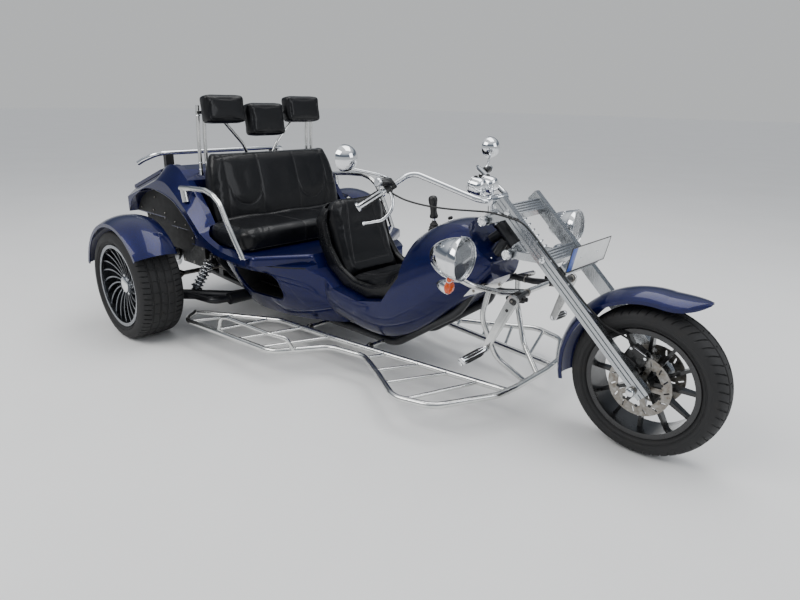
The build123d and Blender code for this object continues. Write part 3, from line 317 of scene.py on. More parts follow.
def facing(direction, up=(0, 0, 1)):
    """A turn that takes +Z to a direction."""
    z = Vector(direction).normalized()
    up = Vector(up)
    if abs(z.dot(up)) > 0.98:
        up = Vector((1, 0, 0))
    x = up.cross(z).normalized()
    y = z.cross(x)
    return Matrix((x, y, z)).transposed()


def at(origin, direction=(0, 0, 1), up=(0, 0, 1)):
    """The place of a piece modelled along +Z: its origin and where its +Z points."""
    return Matrix.Translation(Vector(origin)) @ facing(direction, up).to_4x4()


def shift(x, y, z):
    return Matrix.Translation((x, y, z))


def polar(radius, angle, height=0):
    """A point given by its radius and angle about +Z."""
    return Vector((radius * cos(angle), radius * sin(angle), height))


def spun(radius, angle, side):
    """A point given by its radius and angle about a wheel's axle, and its place along it."""
    return Vector((radius * cos(angle), side, radius * sin(angle)))


def hexagon(radius):
    return [(radius * cos(pi * k / 3), radius * sin(pi * k / 3)) for k in range(6)]


def rounded_loop(x, z, half_x, half_z, corner):
    """A rectangle's outline with round corners, as (x, z) points."""
    out = []
    for way_x, way_z, start in ((1, 1, 0), (-1, 1, 90), (-1, -1, 180), (1, -1, 270)):
        for k in range(7):
            angle = radians(start + 15 * k)
            out.append((x + way_x * (half_x - corner) + corner * cos(angle),
                        z + way_z * (half_z - corner) + corner * sin(angle)))
    return out


def round_ended(run, near, far):
    """A flat bar's outline with round ends: its run, and the radius of each end."""
    out = []
    for x, radius, start in ((0, near, 90), (run, far, -90)):
        for k in range(9):
            angle = radians(start + 22.5 * k)
            out.append((x + radius * cos(angle), radius * sin(angle)))
    return out


def fork_point(ahead, side, up):
    return FORK_ORIGIN + FORK_AHEAD * ahead + FORK_UP * up + Vector((0, side, 0))


def smooth_line(points, steps=8):
    """Points along a smooth curve through the given ones."""
    points = [Vector(p) for p in points]
    out = []
    for i in range(len(points) - 1):
        b, c = points[i], points[i + 1]
        a = points[i - 1] if i > 0 else b * 2 - c
        d = points[i + 2] if i + 2 < len(points) else c * 2 - b
        for k in range(steps):
            t = k / steps
            square, cube = 2 * a - 5 * b + 4 * c - d, 3 * b - a - 3 * c + d
            out.append(0.5 * (2 * b + (c - a) * t + square * t * t + cube * t ** 3))
    out.append(points[-1])
    return out


class Build:
    """Collects closed shapes into one mesh, each with its own material."""

    def __init__(self):
        self.bm = bmesh.new()
        self.finishes = []

    def slot(self, finish):
        if finish not in self.finishes:
            self.finishes.append(finish)
        return self.finishes.index(finish)

    def grid(self, rows, finish, closed_round=True, caps=True, closed_long=False):
        """A skin over rows of points, with its ends closed."""
        index = self.slot(finish)
        made = [[self.bm.verts.new(p) for p in row] for row in rows]
        count = len(made[0])
        pairs = list(zip(made, made[1:])) + ([(made[-1], made[0])] if closed_long else [])
        for low, high in pairs:
            for i in range(count if closed_round else count - 1):
                j = (i + 1) % count
                self.bm.faces.new((low[i], low[j], high[j], high[i])).material_index = index
        if caps and not closed_long:
            self.bm.faces.new(reversed(made[0])).material_index = index
            self.bm.faces.new(made[-1]).material_index = index

    def lathe(self, profile, place, finish, steps=40, closed=False):
        """A turned shape from (radius, height) points about the place's +Z."""
        rows = []
        for r, h in profile:
            r = max(r, 1e-5)
            rows.append([place @ polar(r, 2 * pi * i / steps, h) for i in range(steps)])
        self.grid(rows, finish, caps=not closed, closed_long=closed)

    def tube(self, points, radius, finish, sides=16, closed=False, flat=1.0):
        """A round or oval bar along points: radius is a number, or one for each point."""
        points = [Vector(p) for p in points]
        count = len(points)
        radii = radius if hasattr(radius, "__len__") else [radius] * count
        rows = []
        side = None
        for i, p in enumerate(points):
            a = points[(i - 1) % count] if closed or i > 0 else p
            b = points[(i + 1) % count] if closed or i < count - 1 else p
            run = (b - a).normalized()
            if side is None:
                side = Vector((0, 0, 1)).cross(run)
                if side.length < 0.1:
                    side = Vector((1, 0, 0)).cross(run)
            side = (side - run * side.dot(run)).normalized()
            other = run.cross(side)
            rows.append([
                p + (side * cos(2 * pi * k / sides) + other * sin(2 * pi * k / sides) * flat) * radii[i]
                for k in range(sides)
            ])
        self.grid(rows, finish, caps=not closed, closed_long=closed)

    def box(self, size, place, finish, bevel=0.002, segments=2):
        """A block with rounded edges."""
        index = self.slot(finish)
        made = bmesh.ops.create_cube(self.bm, size=1, matrix=place @ Matrix.Diagonal((*size, 1)))
        verts = made["verts"]
        faces = {f for v in verts for f in v.link_faces}
        for f in faces:
            f.material_index = index
        if bevel:
            edges = list({e for v in verts for e in v.link_edges})
            done = bmesh.ops.bevel(
                self.bm, geom=edges, offset=bevel, segments=segments, profile=0.6, affect="EDGES",
                clamp_overlap=True
            )
            faces = {f for f in faces if f.is_valid} | set(done["faces"])
        for f in faces:
            f.material_index = index

    def prism(self, outline, thick, place, finish, bevel=0.0015, segments=2):
        """A flat outline in the place's XY, thick along its +Z, with rounded rims."""
        index = self.slot(finish)
        low = [self.bm.verts.new(place @ Vector((x, y, 0))) for x, y in outline]
        high = [self.bm.verts.new(place @ Vector((x, y, thick))) for x, y in outline]
        count = len(outline)
        faces = [self.bm.faces.new(reversed(low)), self.bm.faces.new(high)]
        rims = [e for f in faces for e in f.edges]
        for i in range(count):
            j = (i + 1) % count
            faces.append(self.bm.faces.new((low[i], low[j], high[j], high[i])))
        for f in faces:
            f.material_index = index
        if bevel:
            done = bmesh.ops.bevel(
                self.bm, geom=rims, offset=bevel, segments=segments, profile=0.6, affect="EDGES",
                clamp_overlap=True
            )
            faces = [f for f in faces if f.is_valid] + list(done["faces"])
        for f in faces:
            f.material_index = index

    def bolt(self, origin, direction, radius, finish, height=None):
        """A hexagon head on a washer."""
        height = height or radius * 0.7
        place = at(origin, direction)
        self.lathe([(radius * 1.35, 0), (radius * 1.4, height * 0.18), (radius * 1.3, height * 0.25)],
                   place, finish, 20)
        self.prism(hexagon(radius), height, place, finish, radius * 0.12, 1)

    def cap_screw(self, origin, direction, radius, finish=chrome, dark=plastic):
        """A round head with a socket in it."""
        place = at(origin, direction)
        self.lathe(
            [(radius, 0), (radius, radius * 0.75), (radius * 0.86, radius * 0.95),
             (radius * 0.55, radius * 0.95)],
            place, finish, 20,
        )
        self.prism(hexagon(radius * 0.5), radius * 0.02, place @ shift(0, 0, radius * 0.95), dark, 0)

    def finish(self, name, body, replaces=(), slot=None, sharp=32, weld=True):
        """The object, shaded smooth up to an angle, riding on a body."""
        bm = self.bm
        if weld:
            bmesh.ops.remove_doubles(bm, verts=bm.verts, dist=1e-6)
        bmesh.ops.recalc_face_normals(bm, faces=bm.faces)
        limit = radians(sharp)
        for edge in bm.edges:
            edge.smooth = len(edge.link_faces) != 2 or edge.calc_face_angle(0) < limit
        for face in bm.faces:
            face.smooth = True
        mesh = bpy.data.meshes.new(name)
        bm.to_mesh(mesh)
        bm.free()
        for finish in self.finishes:
            mesh.materials.append(finish.mat)
        made = bpy.data.objects.new(name, mesh)
        scene.collection.objects.link(made)
        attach(made, body)
        if replaces:
            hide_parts(*replaces)


# Camera, floor and light

CAMERA_AT = Vector((2.3124, -2.3584, 1.3863))
CAMERA_YAW, CAMERA_DOWN, CAMERA_ROLL = radians(132.69), radians(18.22), radians(-1.015)
FOCAL_PIXELS, FRAME_WIDTH, SENSOR_WIDTH = 612.0544, 800, 36


def place_camera():
    """The camera of the photograph."""
    ahead = Vector((cos(CAMERA_YAW) * cos(CAMERA_DOWN), sin(CAMERA_YAW) * cos(CAMERA_DOWN),
                    -sin(CAMERA_DOWN)))
    right = Vector((sin(CAMERA_YAW), -cos(CAMERA_YAW), 0))
    down = ahead.cross(right)
    turned = right * cos(CAMERA_ROLL) + down * sin(CAMERA_ROLL)
    down = down * cos(CAMERA_ROLL) - right * sin(CAMERA_ROLL)
    data = bpy.data.cameras.new("camera")
    data.sensor_width = SENSOR_WIDTH
    data.lens = FOCAL_PIXELS / FRAME_WIDTH * SENSOR_WIDTH
    data.clip_end = 200
    camera = bpy.data.objects.new("camera", data)
    scene.collection.objects.link(camera)
    camera.matrix_world = Matrix.Translation(CAMERA_AT) @ Matrix((turned, -down,
        -ahead)).transposed().to_4x4()
    scene.camera = camera


def floor_and_backdrop():
    """A wide pale floor, and a world: one tone behind it, bands of tone in reflections, a soft light."""
    ground = Finish("pale_floor", (0.8, 0.8, 0.79, 1), 0.85, 0.0)
    ground.colour(ground.ramp(ground.noise(0.9, 3), [(0.3, (0.79, 0.79, 0.78, 1)),
                                                     (0.7, (0.82, 0.82, 0.81, 1))]))
    made = Build()
    made.grid(
        [[Vector((-60, -60, 0)), Vector((60, -60, 0))], [Vector((-60, 60, 0)), Vector((60, 60, 0))]],
        ground, closed_round=False, caps=False,
    )
    mesh = bpy.data.meshes.new("floor")
    made.bm.to_mesh(mesh)
    made.bm.free()
    mesh.materials.append(ground.mat)
    stage = bpy.data.objects.new("floor", mesh)
    scene.collection.objects.link(stage)

    world = bpy.data.worlds.new("studio")
    scene.world = world
    world.use_nodes = True
    tree = world.node_tree
    tree.nodes.clear()
    out = tree.nodes.new("ShaderNodeOutputWorld")
    shown, light = tree.nodes.new("ShaderNodeBackground"), tree.nodes.new("ShaderNodeBackground")
    mix, path = tree.nodes.new("ShaderNodeMixShader"), tree.nodes.new("ShaderNodeLightPath")
    place, split = tree.nodes.new("ShaderNodeTexCoord"), tree.nodes.new("ShaderNodeSeparateXYZ")
    ramp = tree.nodes.new("ShaderNodeValToRGB")
    tree.links.new(place.outputs["Generated"], split.inputs[0])
    tree.links.new(split.outputs["Z"], ramp.inputs["Fac"])
    stops = [
        (0.0, (0.568, 0.582, 0.590, 1)),
        (0.15, (0.568, 0.582, 0.590, 1)),
        (0.19, (0.22, 0.24, 0.27, 1)),
        (0.36, (0.10, 0.12, 0.15, 1)),
        (0.5, (0.30, 0.33, 0.37, 1)),
        (0.62, (0.58, 0.61, 0.65, 1)),
        (0.8, (0.86, 0.88, 0.90, 1)),
        (1.0, (0.95, 0.96, 0.97, 1)),
    ]
    set_stops(ramp.color_ramp.elements, stops)
    seen = tree.nodes.new("ShaderNodeMix")
    seen.data_type = "RGBA"
    tree.links.new(path.outputs["Is Camera Ray"], seen.inputs["Factor"])
    tree.links.new(ramp.outputs["Color"], seen.inputs[6])
    seen.inputs[7].default_value = (0.568, 0.582, 0.590, 1)
    tree.links.new(seen.outputs[2], shown.inputs["Color"])
    shown.inputs["Strength"].default_value = 1.0
    light.inputs["Color"].default_value = (0.92, 0.95, 1.0, 1)
    light.inputs["Strength"].default_value = 0.72
    add, more = tree.nodes.new("ShaderNodeMath"), tree.nodes.new("ShaderNodeMath")
    add.operation = more.operation = "MAXIMUM"
    tree.links.new(path.outputs["Is Camera Ray"], add.inputs[0])
    tree.links.new(path.outputs["Is Glossy Ray"], add.inputs[1])
    tree.links.new(add.outputs[0], more.inputs[0])
    tree.links.new(path.outputs["Is Transmission Ray"], more.inputs[1])
    tree.links.new(more.outputs[0], mix.inputs[0])
    tree.links.new(light.outputs[0], mix.inputs[1])
    tree.links.new(shown.outputs[0], mix.inputs[2])
    tree.links.new(mix.outputs[0], out.inputs["Surface"])


def lamp(name, spot, aim, size, power, tint=(1, 1, 1)):
    """A rectangular soft box aimed at a point."""
    data = bpy.data.lights.new(name, "AREA")
    data.shape = "RECTANGLE"
    data.size, data.size_y = size
    data.energy = power
    data.color = tint
    made = bpy.data.objects.new(name, data)
    scene.collection.objects.link(made)
    made.matrix_world = at(spot, Vector(spot) - Vector(aim))


place_camera()
floor_and_backdrop()
lamp("key", (-1.2, -4.6, 5.2), (0, 0, 0.4), (4.5, 3.0), 230, (1.0, 0.985, 0.96))
lamp("top", (0.4, 1.2, 6.0), (0, 0, 0.3), (5.0, 3.2), 170)
lamp("fill", (5.2, 1.5, 3.2), (0.2, 0, 0.6), (3.0, 3.0), 90, (0.95, 0.97, 1.0))


# Wheels


def cut_corners(points, times):
    """A smoother open line inside the given one, with the same ends."""
    points = [np.array(p, float) for p in points]
    for _ in range(times):
        out = [points[0]]
        for a, b in zip(points, points[1:]):
            out += [a * 0.75 + b * 0.25, a * 0.25 + b * 0.75]
        points = out + [points[-1]]
    return points


def resampled(points, step):
    """The same line in even steps."""
    points = np.array(points)
    lengths = np.concatenate([[0], np.cumsum(np.linalg.norm(np.diff(points, axis=0), axis=1))])
    count = max(2, int(round(lengths[-1] / step)) + 1)
    where = np.linspace(0, lengths[-1], count)
    return np.stack([np.interp(where, lengths, points[:, k]) for k in (0, 1)], 1)


# Tread patterns: ring grooves as (place, half width) across the tread, in metres
FRONT_TREAD = {
    "rings": [(-0.021, 0.0026), (0.021, 0.0026)],
    "slots": (0.026, 0.074),
    "count": 54,
    "slant": 0.7,
    "depth": 0.0055,
}
REAR_TREAD = {
    "rings": [(-0.064, 0.0045), (-0.022, 0.0045), (0.022, 0.0045), (0.064, 0.0045)],
    "slots": (0.072, 0.118),
    "count": 62,
    "slant": 0.25,
    "depth": 0.0065,
}
# Where the points of one pitch of tread lie along it, and which of them are the bottom of its slot
PITCH_SHARES = (0, 0.17, 0.34, 0.51, 0.68, 0.80, 0.84, 0.96)
SLOT_COLUMNS = (6, 7)
# How far a tyre's bead reaches in below the rim's edge, and how far its flange lies inside its half width
BEAD_DEPTH, FLANGE_INSET = 0.0137, 0.019
SHOULDERS = {
    "front": [(0.052, 0), (0.026, 0.007), (0.009, 0.026), (0, 0.056)],
    "rear": [(0.038, 0), (0.012, 0.009), (0, 0.037)],
}


def tyre(name, body, node, centre, outer_r, width, rim_r, shoulder, tread, step):
    """A tyre with grooves cut in its tread, ribs on its walls and a rounded bead."""
    half = width / 2
    flange = half - FLANGE_INSET
    side = [(rim_r - BEAD_DEPTH, -flange), (rim_r + 0.002, -flange), (rim_r + 0.008, -half + 0.006)]
    side += [(rim_r + 0.02, -half + 0.001), (outer_r - 0.058, -half + 0.0005)]
    side += [(outer_r - drop, -half + inset) for drop, inset in shoulder]
    line = side + [(r, -w) for r, w in reversed(side)]
    line = resampled(cut_corners(line, 3), step)
    columns = len(PITCH_SHARES)
    count = tread["count"] * columns
    slot_from, slot_to = tread["slots"]
    low_wall = rim_r + 0.012
    made = Build()
    rows = []
    for r, w in line:
        away = abs(w)
        on_tread = r > outer_r - 0.03
        ring = 0.0
        if on_tread:
            for place, wide in tread["rings"]:
                ring = max(ring, min(1.0, max(0.0, (wide + 0.0012 - abs(w - place)) / 0.0018)))
        in_slot = slot_from < away < slot_to and r > outer_r - 0.04
        fade = min(1.0, (away - slot_from) / 0.004, (slot_to - away) / 0.01) if in_slot else 0.0
        mid_slot = tread["rings"][0][0] < w < tread["rings"][-1][0] and on_tread and ring == 0
        rib = 0.0
        if low_wall < r < outer_r - 0.045:
            rib = 0.0011 * max(0.0, sin((r - low_wall) / 0.0105 * pi)) ** 6
        row = []
        for i in range(count):
            pitch, k = divmod(i, columns)
            share = PITCH_SHARES[k]
            slot = 1.0 if k in SLOT_COLUMNS else 0.0
            drop = tread["depth"] * max(ring, slot * fade, slot * 0.45 if mid_slot and pitch % 2 else 0.0)
            shear = tread["slant"] * max(0.0, away - slot_from) / (slot_to - slot_from)
            if w < 0:
                shear += 0.5
            angle = 2 * pi * (pitch + share + shear) / tread["count"]
            radius = r - drop
            across = w + (rib if w > 0 else -rib)
            row.append(centre + spun(radius, angle, across))
        rows.append(row)
    made.grid(rows, tyre_rubber, caps=False)
    inside = [(rim_r - BEAD_DEPTH, -flange), (rim_r + 0.03, -flange + 0.02)]
    inside += [(rim_r + 0.03, flange - 0.02), (rim_r - BEAD_DEPTH, flange)]
    inner = [[centre + spun(r, 2 * pi * i / 96, w) for i in range(96)] for r, w in inside]
    made.grid(inner, tyre_rubber, caps=False)
    for sign in SIDES:
        place = at(centre + Vector((0, sign * (half - 0.0088), 0)), (0, sign, 0))
        for radius in (rim_r + 0.018, outer_r - 0.062):
            ring_line = [(radius - 0.0016, 0.004), (radius, 0.0092), (radius + 0.0016, 0.004)]
            made.lathe(ring_line, place, tyre_rubber, 96, closed=True)
    made.finish(name, body, [node], "tyre", sharp=40, weld=False)


tyre("front_tread_tyre", "front_wheel", "front_tyre", Vector((FRONT_X, 0, FRONT_Z)), FRONT_R, FRONT_W,
     FRONT_RIM, SHOULDERS["front"], FRONT_TREAD, 0.0028)
for side_name, sign in REAR_WHEELS:
    tyre(f"rear_{side_name}_tread_tyre", f"rear_{side_name}_wheel", f"rear_{side_name}_tyre",
         Vector((REAR_X, sign * REAR_SIDE, REAR_Z)), REAR_R, REAR_W, REAR_RIM, SHOULDERS["rear"],
         REAR_TREAD, 0.0042)


# The rear rim's spokes: their count, the steps along a bright face, where the face and the spoke itself
# begin and end, their lean and rise from hub to barrel, how far out they stand
# at the hub, and the radii that the rise goes from and to
SPOKES, SPOKE_STEPS = 20, 12
FACE_FROM, FACE_TO = 0.07, 0.217
SPOKE_FROM, SPOKE_TO = 0.034, 0.226
SPOKE_LEAN, SPOKE_DISH = radians(24), 0.032
SPOKE_HEIGHT = 0.074
DISH_FROM, DISH_TO = 0.06, 0.225


def rear_wheel_trim(side_name, sign):
    """The machined lip, the bright spoke faces, the centre cap, nuts and valve of a rear wheel."""
    centre = Vector((REAR_X, sign * REAR_SIDE, REAR_Z))
    out = Vector((0, sign, 0))
    face = at(centre, out, (1, 0, 0))
    edge = REAR_W / 2 - 0.012
    made = Build()
    made.lathe(
        [(REAR_RIM - 0.0215, edge - 0.012), (REAR_RIM - 0.0205, edge + 0.0002),
         (REAR_RIM - 0.012, edge + 0.0022),
         (REAR_RIM - 0.002, edge + 0.0016), (REAR_RIM + 0.0003, edge - 0.001),
         (REAR_RIM - 0.008, edge - 0.0035)],
        face, bright_lip, 120, closed=True,
    )
    # Seen from its own outer side, each wheel's spokes lean the same way, as on its rim
    turn = -sign
    for i in range(SPOKES):
        start = 2 * pi * i / SPOKES
        row_low, row_high = [], []
        for k in range(SPOKE_STEPS + 1):
            share = k / SPOKE_STEPS
            r = FACE_FROM + (FACE_TO - FACE_FROM) * share
            reach = (r - SPOKE_FROM) / (SPOKE_TO - SPOKE_FROM)
            lean = SPOKE_LEAN * (0.2 * reach + 0.8 * reach * reach)
            height = SPOKE_HEIGHT + (r - DISH_FROM) / (DISH_TO - DISH_FROM) * SPOKE_DISH
            half = 0.0012 + 0.0010 * share
            for row, way in ((row_low, -1), (row_high, 1)):
                angle = start + lean + way * half / r
                x, z = r * cos(angle), turn * r * sin(angle)
                row.append(centre + Vector((x, sign * (height + 0.0004), z)))
        index = made.slot(bright_lip)
        low = [made.bm.verts.new(p) for p in row_low]
        high = [made.bm.verts.new(p) for p in row_high]
        for a in range(SPOKE_STEPS):
            made.bm.faces.new((low[a], low[a + 1], high[a + 1], high[a])).material_index = index
    made.lathe([(0.046, 0.080), (0.047, 0.084), (0.040, 0.089), (0.016, 0.0915), (0.0, 0.092)], face,
               chrome, 48)
    for k in range(5):
        angle = 2 * pi * k / 5 + 0.3
        spot = centre + spun(0.056, angle, sign * 0.066)
        made.bolt(spot, out, 0.0085, chrome, 0.012)
    valve = centre + spun(0.212, 2.0, sign * (edge - 0.012))
    made.tube([valve, valve + Vector((-0.002, sign * 0.016, -0.004)),
               valve + Vector((-0.004, sign * 0.024, -0.008))],
              [0.0042, 0.0034, 0.0034], rubber, 10)
    made.finish(f"rear_{side_name}_wheel_trim", f"rear_{side_name}_wheel", slot="alloy")


for side_name, sign in REAR_WHEELS:
    rear_wheel_trim(side_name, sign)


def front_wheel_trim():
    """Disc bobbins, hub bolts, rim lines and the valve of the front wheel."""
    centre = Vector((FRONT_X, 0, FRONT_Z))
    made = Build()
    edge = FRONT_W / 2 - 0.012
    for sign in SIDES:
        out = Vector((0, sign, 0))
        face = at(centre, out, (1, 0, 0))
        made.lathe(
            [(FRONT_RIM - 0.0208, edge - 0.01), (FRONT_RIM - 0.0200, edge + 0.0003),
             (FRONT_RIM - 0.01, edge + 0.0016),
             (FRONT_RIM - 0.0005, edge + 0.001), (FRONT_RIM - 0.008, edge - 0.004)],
            face, black_alloy, 96, closed=True,
        )
        disc_out = 0.084 - 0.006 + 0.0029
        for k in range(10):
            angle = 2 * pi * k / 10 + 0.31
            spot = centre + spun(0.0885, angle, sign * (disc_out - 0.001))
            made.lathe([(0.0062, 0), (0.0066, 0.0014), (0.0054, 0.0024), (0.0028, 0.0018),
                        (0.0004, 0.0018)],
                       at(spot, out), engine_metal, 16)
        for k in range(5):
            angle = 2 * pi * k / 5 + 0.63
            spot = centre + spun(0.0355, angle, sign * (disc_out - 0.001))
            made.cap_screw(spot, out, 0.0052)
    valve = centre + spun(0.204, 2.2, 0.02)
    inward = Vector((-cos(2.2), 0, -sin(2.2)))
    made.tube([valve, valve + inward * 0.014, valve + inward * 0.03], [0.0045, 0.0036, 0.0036], rubber, 10)
    made.finish("front_wheel_trim", "front_wheel", slot="black_alloy")


front_wheel_trim()


# Fork and front end


def fork_trim():
    """End caps, cross bar screws, pin caps and clamp screws of the fork."""
    made = Build()
    tall = fork_point(0, 0, LEG_TOP)
    for sign in SIDES:
        out = Vector((0, sign, 0))
        outer = sign * (LEG_SIDE + LEG_WIDTH / 2)
        cap = at(tall + Vector((0, sign * LEG_SIDE, 0)), FORK_UP, FORK_AHEAD)
        made.box((LEG_WIDTH - 0.003, LEG_DEPTH - 0.003, 0.006), cap @ shift(0, 0, 0.0012), fork_metal,
                 0.0015)
        made.lathe([(0.006, 0.004), (0.006, 0.0062), (0.0048, 0.007), (0.003, 0.0055), (0.0002, 0.0055)],
                   cap, chrome, 20)
        for up in BARS_UP:
            spot = fork_point(0, outer, up)
            made.lathe([(0.0135, -0.0004), (0.0140, 0.0022), (0.0122, 0.0040), (0.0062, 0.0046),
                        (0.0048, 0.0034), (0.0002, 0.0034)],
                       at(spot, out), chrome, 28)
        for up, reach in ((0.948, 0.114), (0.758, 0.114)):
            spot = fork_point(PINS_AHEAD, sign * reach, up)
            made.lathe(
                [(0.0222, -0.004), (0.0235, -0.001), (0.0235, 0.0035), (0.0205, 0.0060), (0.0180, 0.0045),
                 (0.0150, 0.0045), (0.0135, 0.0062), (0.0078, 0.0066), (0.0062, 0.0048), (0.0002, 0.0048)],
                at(spot, out), chrome, 36,
            )
        foot = fork_point(-0.022, sign * (LEG_SIDE + LEG_WIDTH / 2 + 0.014), 0)
        made.lathe([(0.0172, -0.0005), (0.0176, 0.004), (0.0150, 0.0095), (0.0090, 0.0128),
                    (0.0002, 0.0140)], at(foot, out), chrome, 32)
        for up in (0.36, 0.345):
            made.bolt(fork_point(0.008 if up < 0.35 else -0.014, sign * 0.1165, up), -out, 0.0048, chrome)
    for ahead, side, up in ((-0.136, 0.045, 0.976), (-0.136, -0.045, 0.976), (-0.158, 0.05, 0.976),
                            (-0.158, -0.05, 0.976)):
        made.cap_screw(fork_point(ahead, side, up), FORK_UP, 0.0055)
    made.lathe([(0.0185, -0.001), (0.019, 0.004), (0.0165, 0.010), (0.010, 0.0125), (0.0002, 0.0128)],
               at(fork_point(PINS_AHEAD, 0, 0.976), FORK_UP), chrome, 36)
    made.finish("fork_trim", "steering", slot="chrome")


def front_coil():
    """The chrome coil, wound a little closer at its ends, between two seats on a dark damper."""
    ahead, low, high = -0.058, 0.652, 0.922
    place = at(fork_point(ahead, 0, low), FORK_UP, FORK_AHEAD)
    tall = high - low
    made = Build()
    made.lathe([(0.0, 0.0), (0.0125, 0.0), (0.0125, tall * 0.45), (0.0102, tall * 0.46), (0.0102, tall),
                (0.0, tall)], place, black_metal, 28)
    for h, flip in ((0.0, 1), (tall, -1)):
        rows = [(0.008, 0), (0.0315, 0.0), (0.0328, 0.0012), (0.0328, 0.0065), (0.0315, 0.008),
                (0.024, 0.0085), (0.022, 0.014), (0.012, 0.014)]
        made.lathe([(r, h + flip * z) for r, z in rows], place, chrome, 40)
    turns, samples = 8.5, 24
    points = []
    start, run = 0.0135, tall - 0.027
    for i in range(int(turns * samples) + 1):
        share = i / (turns * samples)
        eased = share + 0.018 * sin(2 * pi * share) * -1
        angle = 2 * pi * turns * share
        points.append(place @ polar(0.0268, angle, start + run * eased))
    made.tube(points, 0.0051, chrome, 12)
    made.finish("front_coil_spring", "steering", ["front_spring"], "chrome")


def plate_and_holder():
    """The blank plate with a raised dark rim, two screws and a blue band."""
    place = shift(1.204, 0, 0.785) @ Matrix.Rotation(radians(12), 4, "Y") @ facing((1, 0, 0)).to_4x4()
    made = Build()
    half_w, half_h = 0.17, 0.055
    made.box((2 * half_w - 0.0006, 2 * half_h - 0.0006, 0.0016), place @ shift(0, 0, -0.0002), plate_white,
             0.0007)
    for y in SIDES:
        made.box((2 * half_w, 0.0042, 0.0032), place @ shift(0, y * (half_h - 0.0021), 0), plastic, 0.0008)
        made.box((0.0042, 2 * half_h, 0.0032), place @ shift(y * (half_w - 0.0021), 0, 0), plastic, 0.0008)
        made.lathe([(0.0048, 0.0), (0.0050, 0.0010), (0.0036, 0.0018), (0.0002, 0.0020)],
                   place @ shift(y * 0.07, 0.0, 0.0005), chrome, 18)
    made.box((0.040, 2 * half_h - 0.010, 0.0010), place @ shift(-0.1450, 0, 0.0012), plate_blue, 0.0003)
    made.finish("plate_with_rim", "steering", ["number_plate"], "plate_white")


def caliper():
    """A caliper in two halves: bridge, two piston caps, pad pin, bolts, the hose's fitting and a bracket."""
    made = Build()
    disc_y = -0.078
    lean = Matrix.Rotation(radians(25), 4, "Y")
    centre = shift(1.492, disc_y, 0.44) @ lean
    for y, thick in ((-0.0165, 0.013), (0.0140, 0.0125)):
        outline = [(-0.043, -0.018), (-0.030, -0.034), (0.022, -0.036), (0.042, -0.020), (0.043, 0.014),
                   (0.030, 0.031), (-0.018, 0.036), (-0.042, 0.018)]
        place = centre @ shift(0, y, 0) @ facing((0, -1, 0)).to_4x4() @ shift(0, 0, -thick / 2)
        made.prism(outline, thick, place, black_metal, 0.003, 3)
    made.box((0.052, 0.040, 0.016), centre @ shift(-0.006, -0.001, 0.026), black_metal, 0.003, 3)
    for x in (-0.021, 0.021):
        spot = centre @ Vector((x, -0.0228, -0.004))
        made.lathe([(0.0145, -0.001), (0.0150, 0.0012), (0.0128, 0.0024), (0.0100, 0.0014),
                    (0.0002, 0.0016)], at(spot, (0, -1, 0)), engine_metal, 28)
        made.bolt(centre @ Vector((x * 1.55, -0.0225, 0.016)), (0, -1, 0), 0.0042, chrome)
    made.tube([centre @ Vector((-0.022, -0.021, 0.0285)), centre @ Vector((0.03, -0.021, 0.0285))], 0.0026,
              chrome, 12)
    banjo = Vector((1.490, -0.080, 0.462))
    made.lathe([(0.0072, -0.006), (0.0072, 0.006), (0.004, 0.0072), (0.0002, 0.0072)],
               at(banjo + Vector((0, 0, 0.004)), (-0.2, -0.3, 1)), brass, 20)
    bracket = shift(1.448, -0.1075, 0.420) @ Matrix.Rotation(radians(20), 4, "Y")
    outline = [(-0.053, -0.016), (-0.040, -0.020), (0.052, -0.014), (0.053, 0.014), (0.02, 0.020),
               (-0.05, 0.019)]
    made.prism(outline, 0.017, bracket @ facing((0, -1, 0)).to_4x4() @ shift(0, 0, -0.0085), black_metal,
               0.003, 3)
    for x in (-0.036, 0.012):
        made.bolt(bracket @ Vector((x, -0.0088, 0)), (0, -1, 0), 0.0062, chrome)
    made.finish("brake_caliper", "steering", ["front_caliper"], "black_metal")


HOSE_POINTS = [
    (0.402, -0.370, 0.990), (0.448, -0.356, 0.966), (0.512, -0.330, 0.948), (0.588, -0.296, 0.936),
    (0.668, -0.258, 0.931), (0.744, -0.216, 0.930), (0.806, -0.184, 0.930),
]
HOSE_LEG = [
    (-0.034, -0.163, 0.902), (-0.002, -0.160, 0.856), (0.034, -0.158, 0.806), (0.034, -0.143, 0.748),
    (0.033, -0.142, 0.668), (0.034, -0.143, 0.588), (0.033, -0.142, 0.508), (0.034, -0.143, 0.428),
    (0.036, -0.138, 0.366), (0.034, -0.122, 0.314), (0.024, -0.104, 0.272),
]
HOSE_LAST = [(1.436, -0.092, 0.508), (1.470, -0.084, 0.486), (1.490, -0.080, 0.462)]


# The smooth hose's share of the straight runs between its points, and its thickness
HOSE_SHARE, HOSE_DIAMETER = 0.985, 0.008


